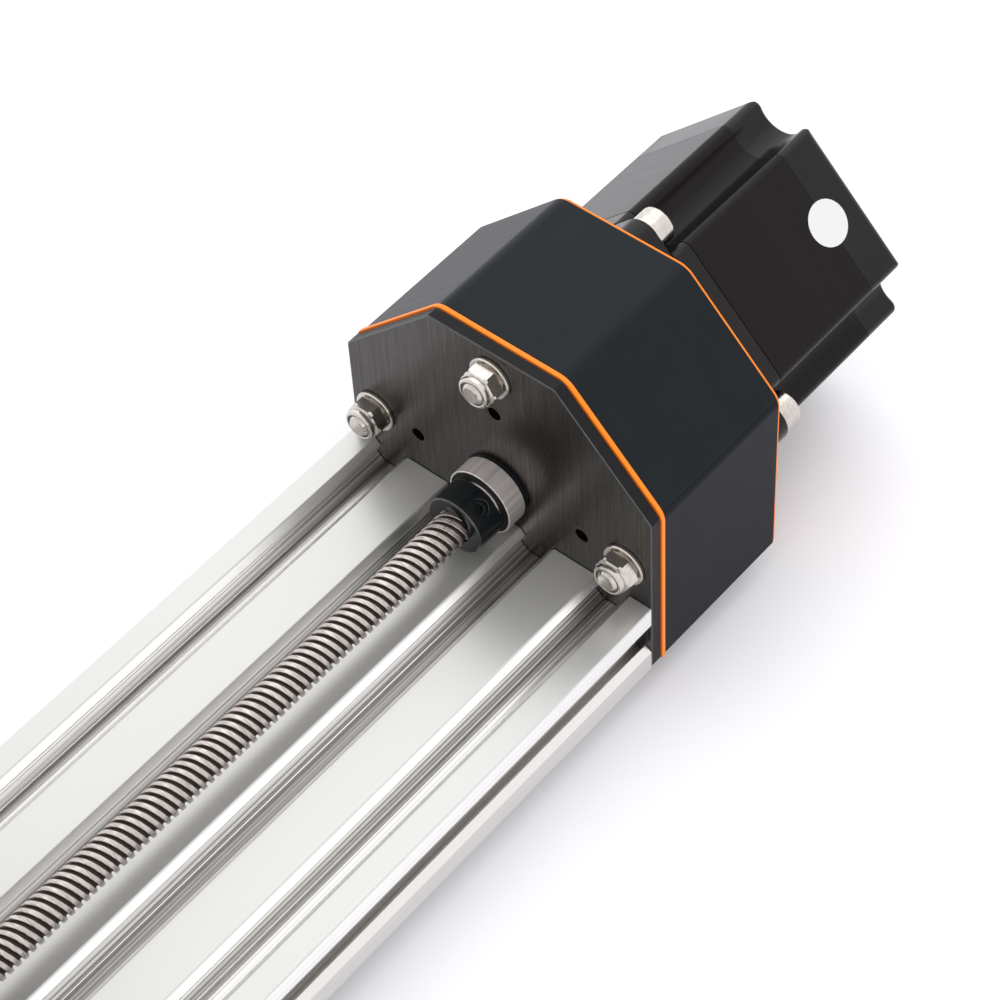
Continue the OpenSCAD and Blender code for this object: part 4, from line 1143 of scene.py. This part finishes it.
washer_seat = high("motor_washers").y
nut_seat = high("motor_nuts").y
bolt_seat = high("motor_bolts").y - cap_head_height * MM
bolt_length = (bolt_seat - low("motor_bolts").y) / MM
stand_for(round_motor("motor_bolt_washers", washer_rings(), washer_seat, fastener), "motor_washers")
stand_for(round_motor("motor_lock_nuts", lock_nut_rings(), nut_seat, fastener), "motor_nuts")
go_with(round_motor("motor_nut_nylon", nylon_rings(), nut_seat, nylon_painted_dark), "motor_nuts")
stand_for(round_motor("motor_long_bolts", cap_screw_rings(bolt_length), bolt_seat, fastener,
                      closed=False), "motor_bolts")
print(f"bolts {bolt_length:.1f} mm long on a ring {bolt_ring / MM:.2f} mm in radius")

# %% [markdown]
# ## Screws in the beam's ends, the nut block and the wheels
# Four button screws hold each end plate, one in each of the beam's cores. Four more hold the nut
# block under the gantry plate, and each wheel turns on a button screw with a lock nut on top.

# %% Repeat the other fasteners
BACKWARD = Matrix.Rotation(math.radians(-90), 4, "X")
UPWARD = Matrix.Identity(4)
DOWNWARD = Matrix.Rotation(math.radians(180), 4, "X")


def in_grid(name, rings, counts, pitches, centre, turn, finish, closed=False):
    one = fastener_mesh(name + "_one", rings, turn, closed)
    return bake(name, one, grid_tree, {
        "Across": counts[0], "Along": counts[1], "Pitch across": pitches[0],
        "Pitch along": pitches[1], "Centre": centre, "Material": finish.material})


def corners_of(node):
    """The pitches across and along of button screws whose heads reach the node's corners."""
    size = high(node) - low(node)
    return size.x - 2 * button_head_radius * MM, size.y - 2 * button_head_radius * MM


HEAD = button_head_height * MM
plate_screws = high("idler_plate_screws").x - low("idler_plate_screws").x
core_pitch = (plate_screws - 2 * button_head_radius * MM) / 3
for name, node, turn, seat in (
        ("drive_end_screws", "drive_plate_screws", FORWARD, high("drive_plate_screws").y - HEAD),
        ("idler_end_screws", "idler_plate_screws", BACKWARD, low("idler_plate_screws").y + HEAD)):
    length = (high(node).y - low(node).y) / MM - button_head_height
    stand_for(in_grid(name, button_screw_rings(length), (4, 1), (core_pitch, 0),
                      (0, seat, middle_of(node).z), turn, oxide), node)

block = middle_of("nut_block_screws")
block_length = (high("nut_block_screws").z - low("nut_block_screws").z) / MM - button_head_height
stand_for(in_grid("nut_block_button_screws", button_screw_rings(block_length), (2, 2),
                  corners_of("nut_block_screws"),
                  (block.x, block.y, high("nut_block_screws").z - HEAD), DOWNWARD, fastener),
          "nut_block_screws")

axle = middle_of("wheel_bolts")
axle_length = (high("wheel_bolts").z - low("wheel_bolts").z) / MM - button_head_height
axle_pitches = corners_of("wheel_bolts")
nut_centre = (axle.x, axle.y, low("wheel_nuts").z)
stand_for(in_grid("wheel_axle_screws", button_screw_rings(axle_length), (2, 2), axle_pitches,
                  (axle.x, axle.y, low("wheel_bolts").z + HEAD), UPWARD, fastener), "wheel_bolts")
stand_for(in_grid("wheel_lock_nuts", lock_nut_rings(), (2, 2), axle_pitches, nut_centre, UPWARD,
                  fastener, closed=True), "wheel_nuts")
go_with(in_grid("wheel_nut_nylon", nylon_rings(), (2, 2), axle_pitches, nut_centre, UPWARD, nylon_painted_dark,
                closed=True), "wheel_nuts")
print("fasteners repeated")

# %% [markdown]
# ## Floor
# The module lies in a white studio on a pale floor of matt paper. The floor is broad, so its edge
# is never seen, and it lies just under the lowest solid. It glows very faintly, as paper does that
# is also lit from beyond the picture.

# %% Floor
floor_finish = Finish("studio_floor", Emission_Color=colour(0.93, 0.92, 1.0),
                      Emission_Strength=0.03)
paper = floor_finish.grain((60, 60, 60), detail=2)
floor_finish.paint(paper, colour(0.885, 0.88, 0.915), colour(0.915, 0.91, 0.945))
floor_finish.polish(floor_finish.level(paper, 0.0, 1.0, 0.75, 0.85))
bm = bmesh.new()
bmesh.ops.create_grid(bm, x_segments=8, y_segments=8, size=4.0)
bmesh.ops.translate(bm, vec=(0, 0, floor_height - 0.1 * MM), verts=bm.verts)
floor = make_piece("studio_floor", bm, floor_finish)
floor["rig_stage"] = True
print(f"floor at {floor_height / MM:.2f} mm")

# %% [markdown]
# ## Sky
# The metal mirrors a white sky. It is brightest high behind the module on the left, and a little
# greyer in front, which is the part that the dark end plate and the chamfers mirror.

# %% Sky
world = bpy.data.worlds.new("studio_tent")
bpy.context.scene.world = world
world.use_nodes = True
tent = Graph(world.node_tree)
sky = world.node_tree.nodes["Background"]
towards = tent.add("ShaderNodeTexCoord", out="Generated")


def sky_patch(direction, start, stop, strength):
    """How much of a soft round patch of sky about a direction covers each point."""
    facing = tent.add("ShaderNodeVectorMath", {"operation": "DOT_PRODUCT"}, {
        0: towards, 1: Vector(direction).normalized()}, out="Value")
    return tent.add("ShaderNodeMapRange", {"interpolation_type": "SMOOTHSTEP"}, {
        "Value": facing, "From Min": start, "From Max": stop, "To Min": 0.0, "To Max": strength})


def blend(factor, first, second):
    return tent.add("ShaderNodeMix", {"data_type": "RGBA"}, {0: factor, 6: first, 7: second}, 2)


lit = sky_patch((-0.38, 0.50, 0.78), 0.15, 0.75, 1.0)
dim = sky_patch((-0.35, -0.70, 0.62), 0.55, 0.95, 0.2)
white_tent = blend(lit, colour(0.86, 0.855, 0.845), grey(1.0))
tent.feed(sky.inputs["Color"], blend(dim, white_tent, colour(0.12, 0.115, 0.11)))
tent.feed(sky.inputs["Strength"], 1.43)
print("sky:", len(world.node_tree.nodes), "nodes")

# %% [markdown]
# ## Lamp
# One large soft lamp, high behind the module on the left, gives the faint shadow on the right.

# %% Lamp
def soft_lamp(name, place, target, size, power):
    data = bpy.data.lights.new(name, "AREA")
    data.shape = "RECTANGLE"
    data.size, data.size_y = size
    data.energy = power
    lamp = place_object(name, data)
    lamp.location = place
    lamp.rotation_euler = (Vector(target) - Vector(place)).to_track_quat("-Z", "Y").to_euler()


soft_lamp("key_lamp", (-0.35, 0.85, 0.95), (0, 0.08, 0), (1.1, 1.1), 2)
bpy.context.scene.view_settings.view_transform = "Standard"
bpy.context.scene.view_settings.look = "None"
print("studio ready")

# %% [markdown]
# ## Camera
# The camera looks down at the drive end from the front right with a long lens, from a little over
# half a metre, so the beam hardly tapers and runs out of the frame towards the lower left.

# %% Camera
lens = bpy.data.cameras.new("studio_camera")
lens.sensor_width = 36.0
lens.lens = 112.59
lens.clip_start, lens.clip_end = 0.02, 50
camera = place_object("studio_camera", lens)
camera.location = (0.28038, -0.17688, 0.52279)
camera.rotation_euler = Euler([math.radians(a) for a in (39.542, 2.368, 40.003)], "XYZ")
bpy.context.scene.camera = camera
print("camera", [round(c, 3) for c in camera.location])

# %% [markdown]
# ## The size
# The detailed pieces must fill the same space as the solids. Both boxes are printed.

# %% Write both boxes and finish
dressed_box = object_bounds()
for solid, dressed in zip(solid_box, dressed_box):
    print("solid", [round(c / MM, 2) for c in solid], "dressed", [round(c / MM, 2) for c in dressed])
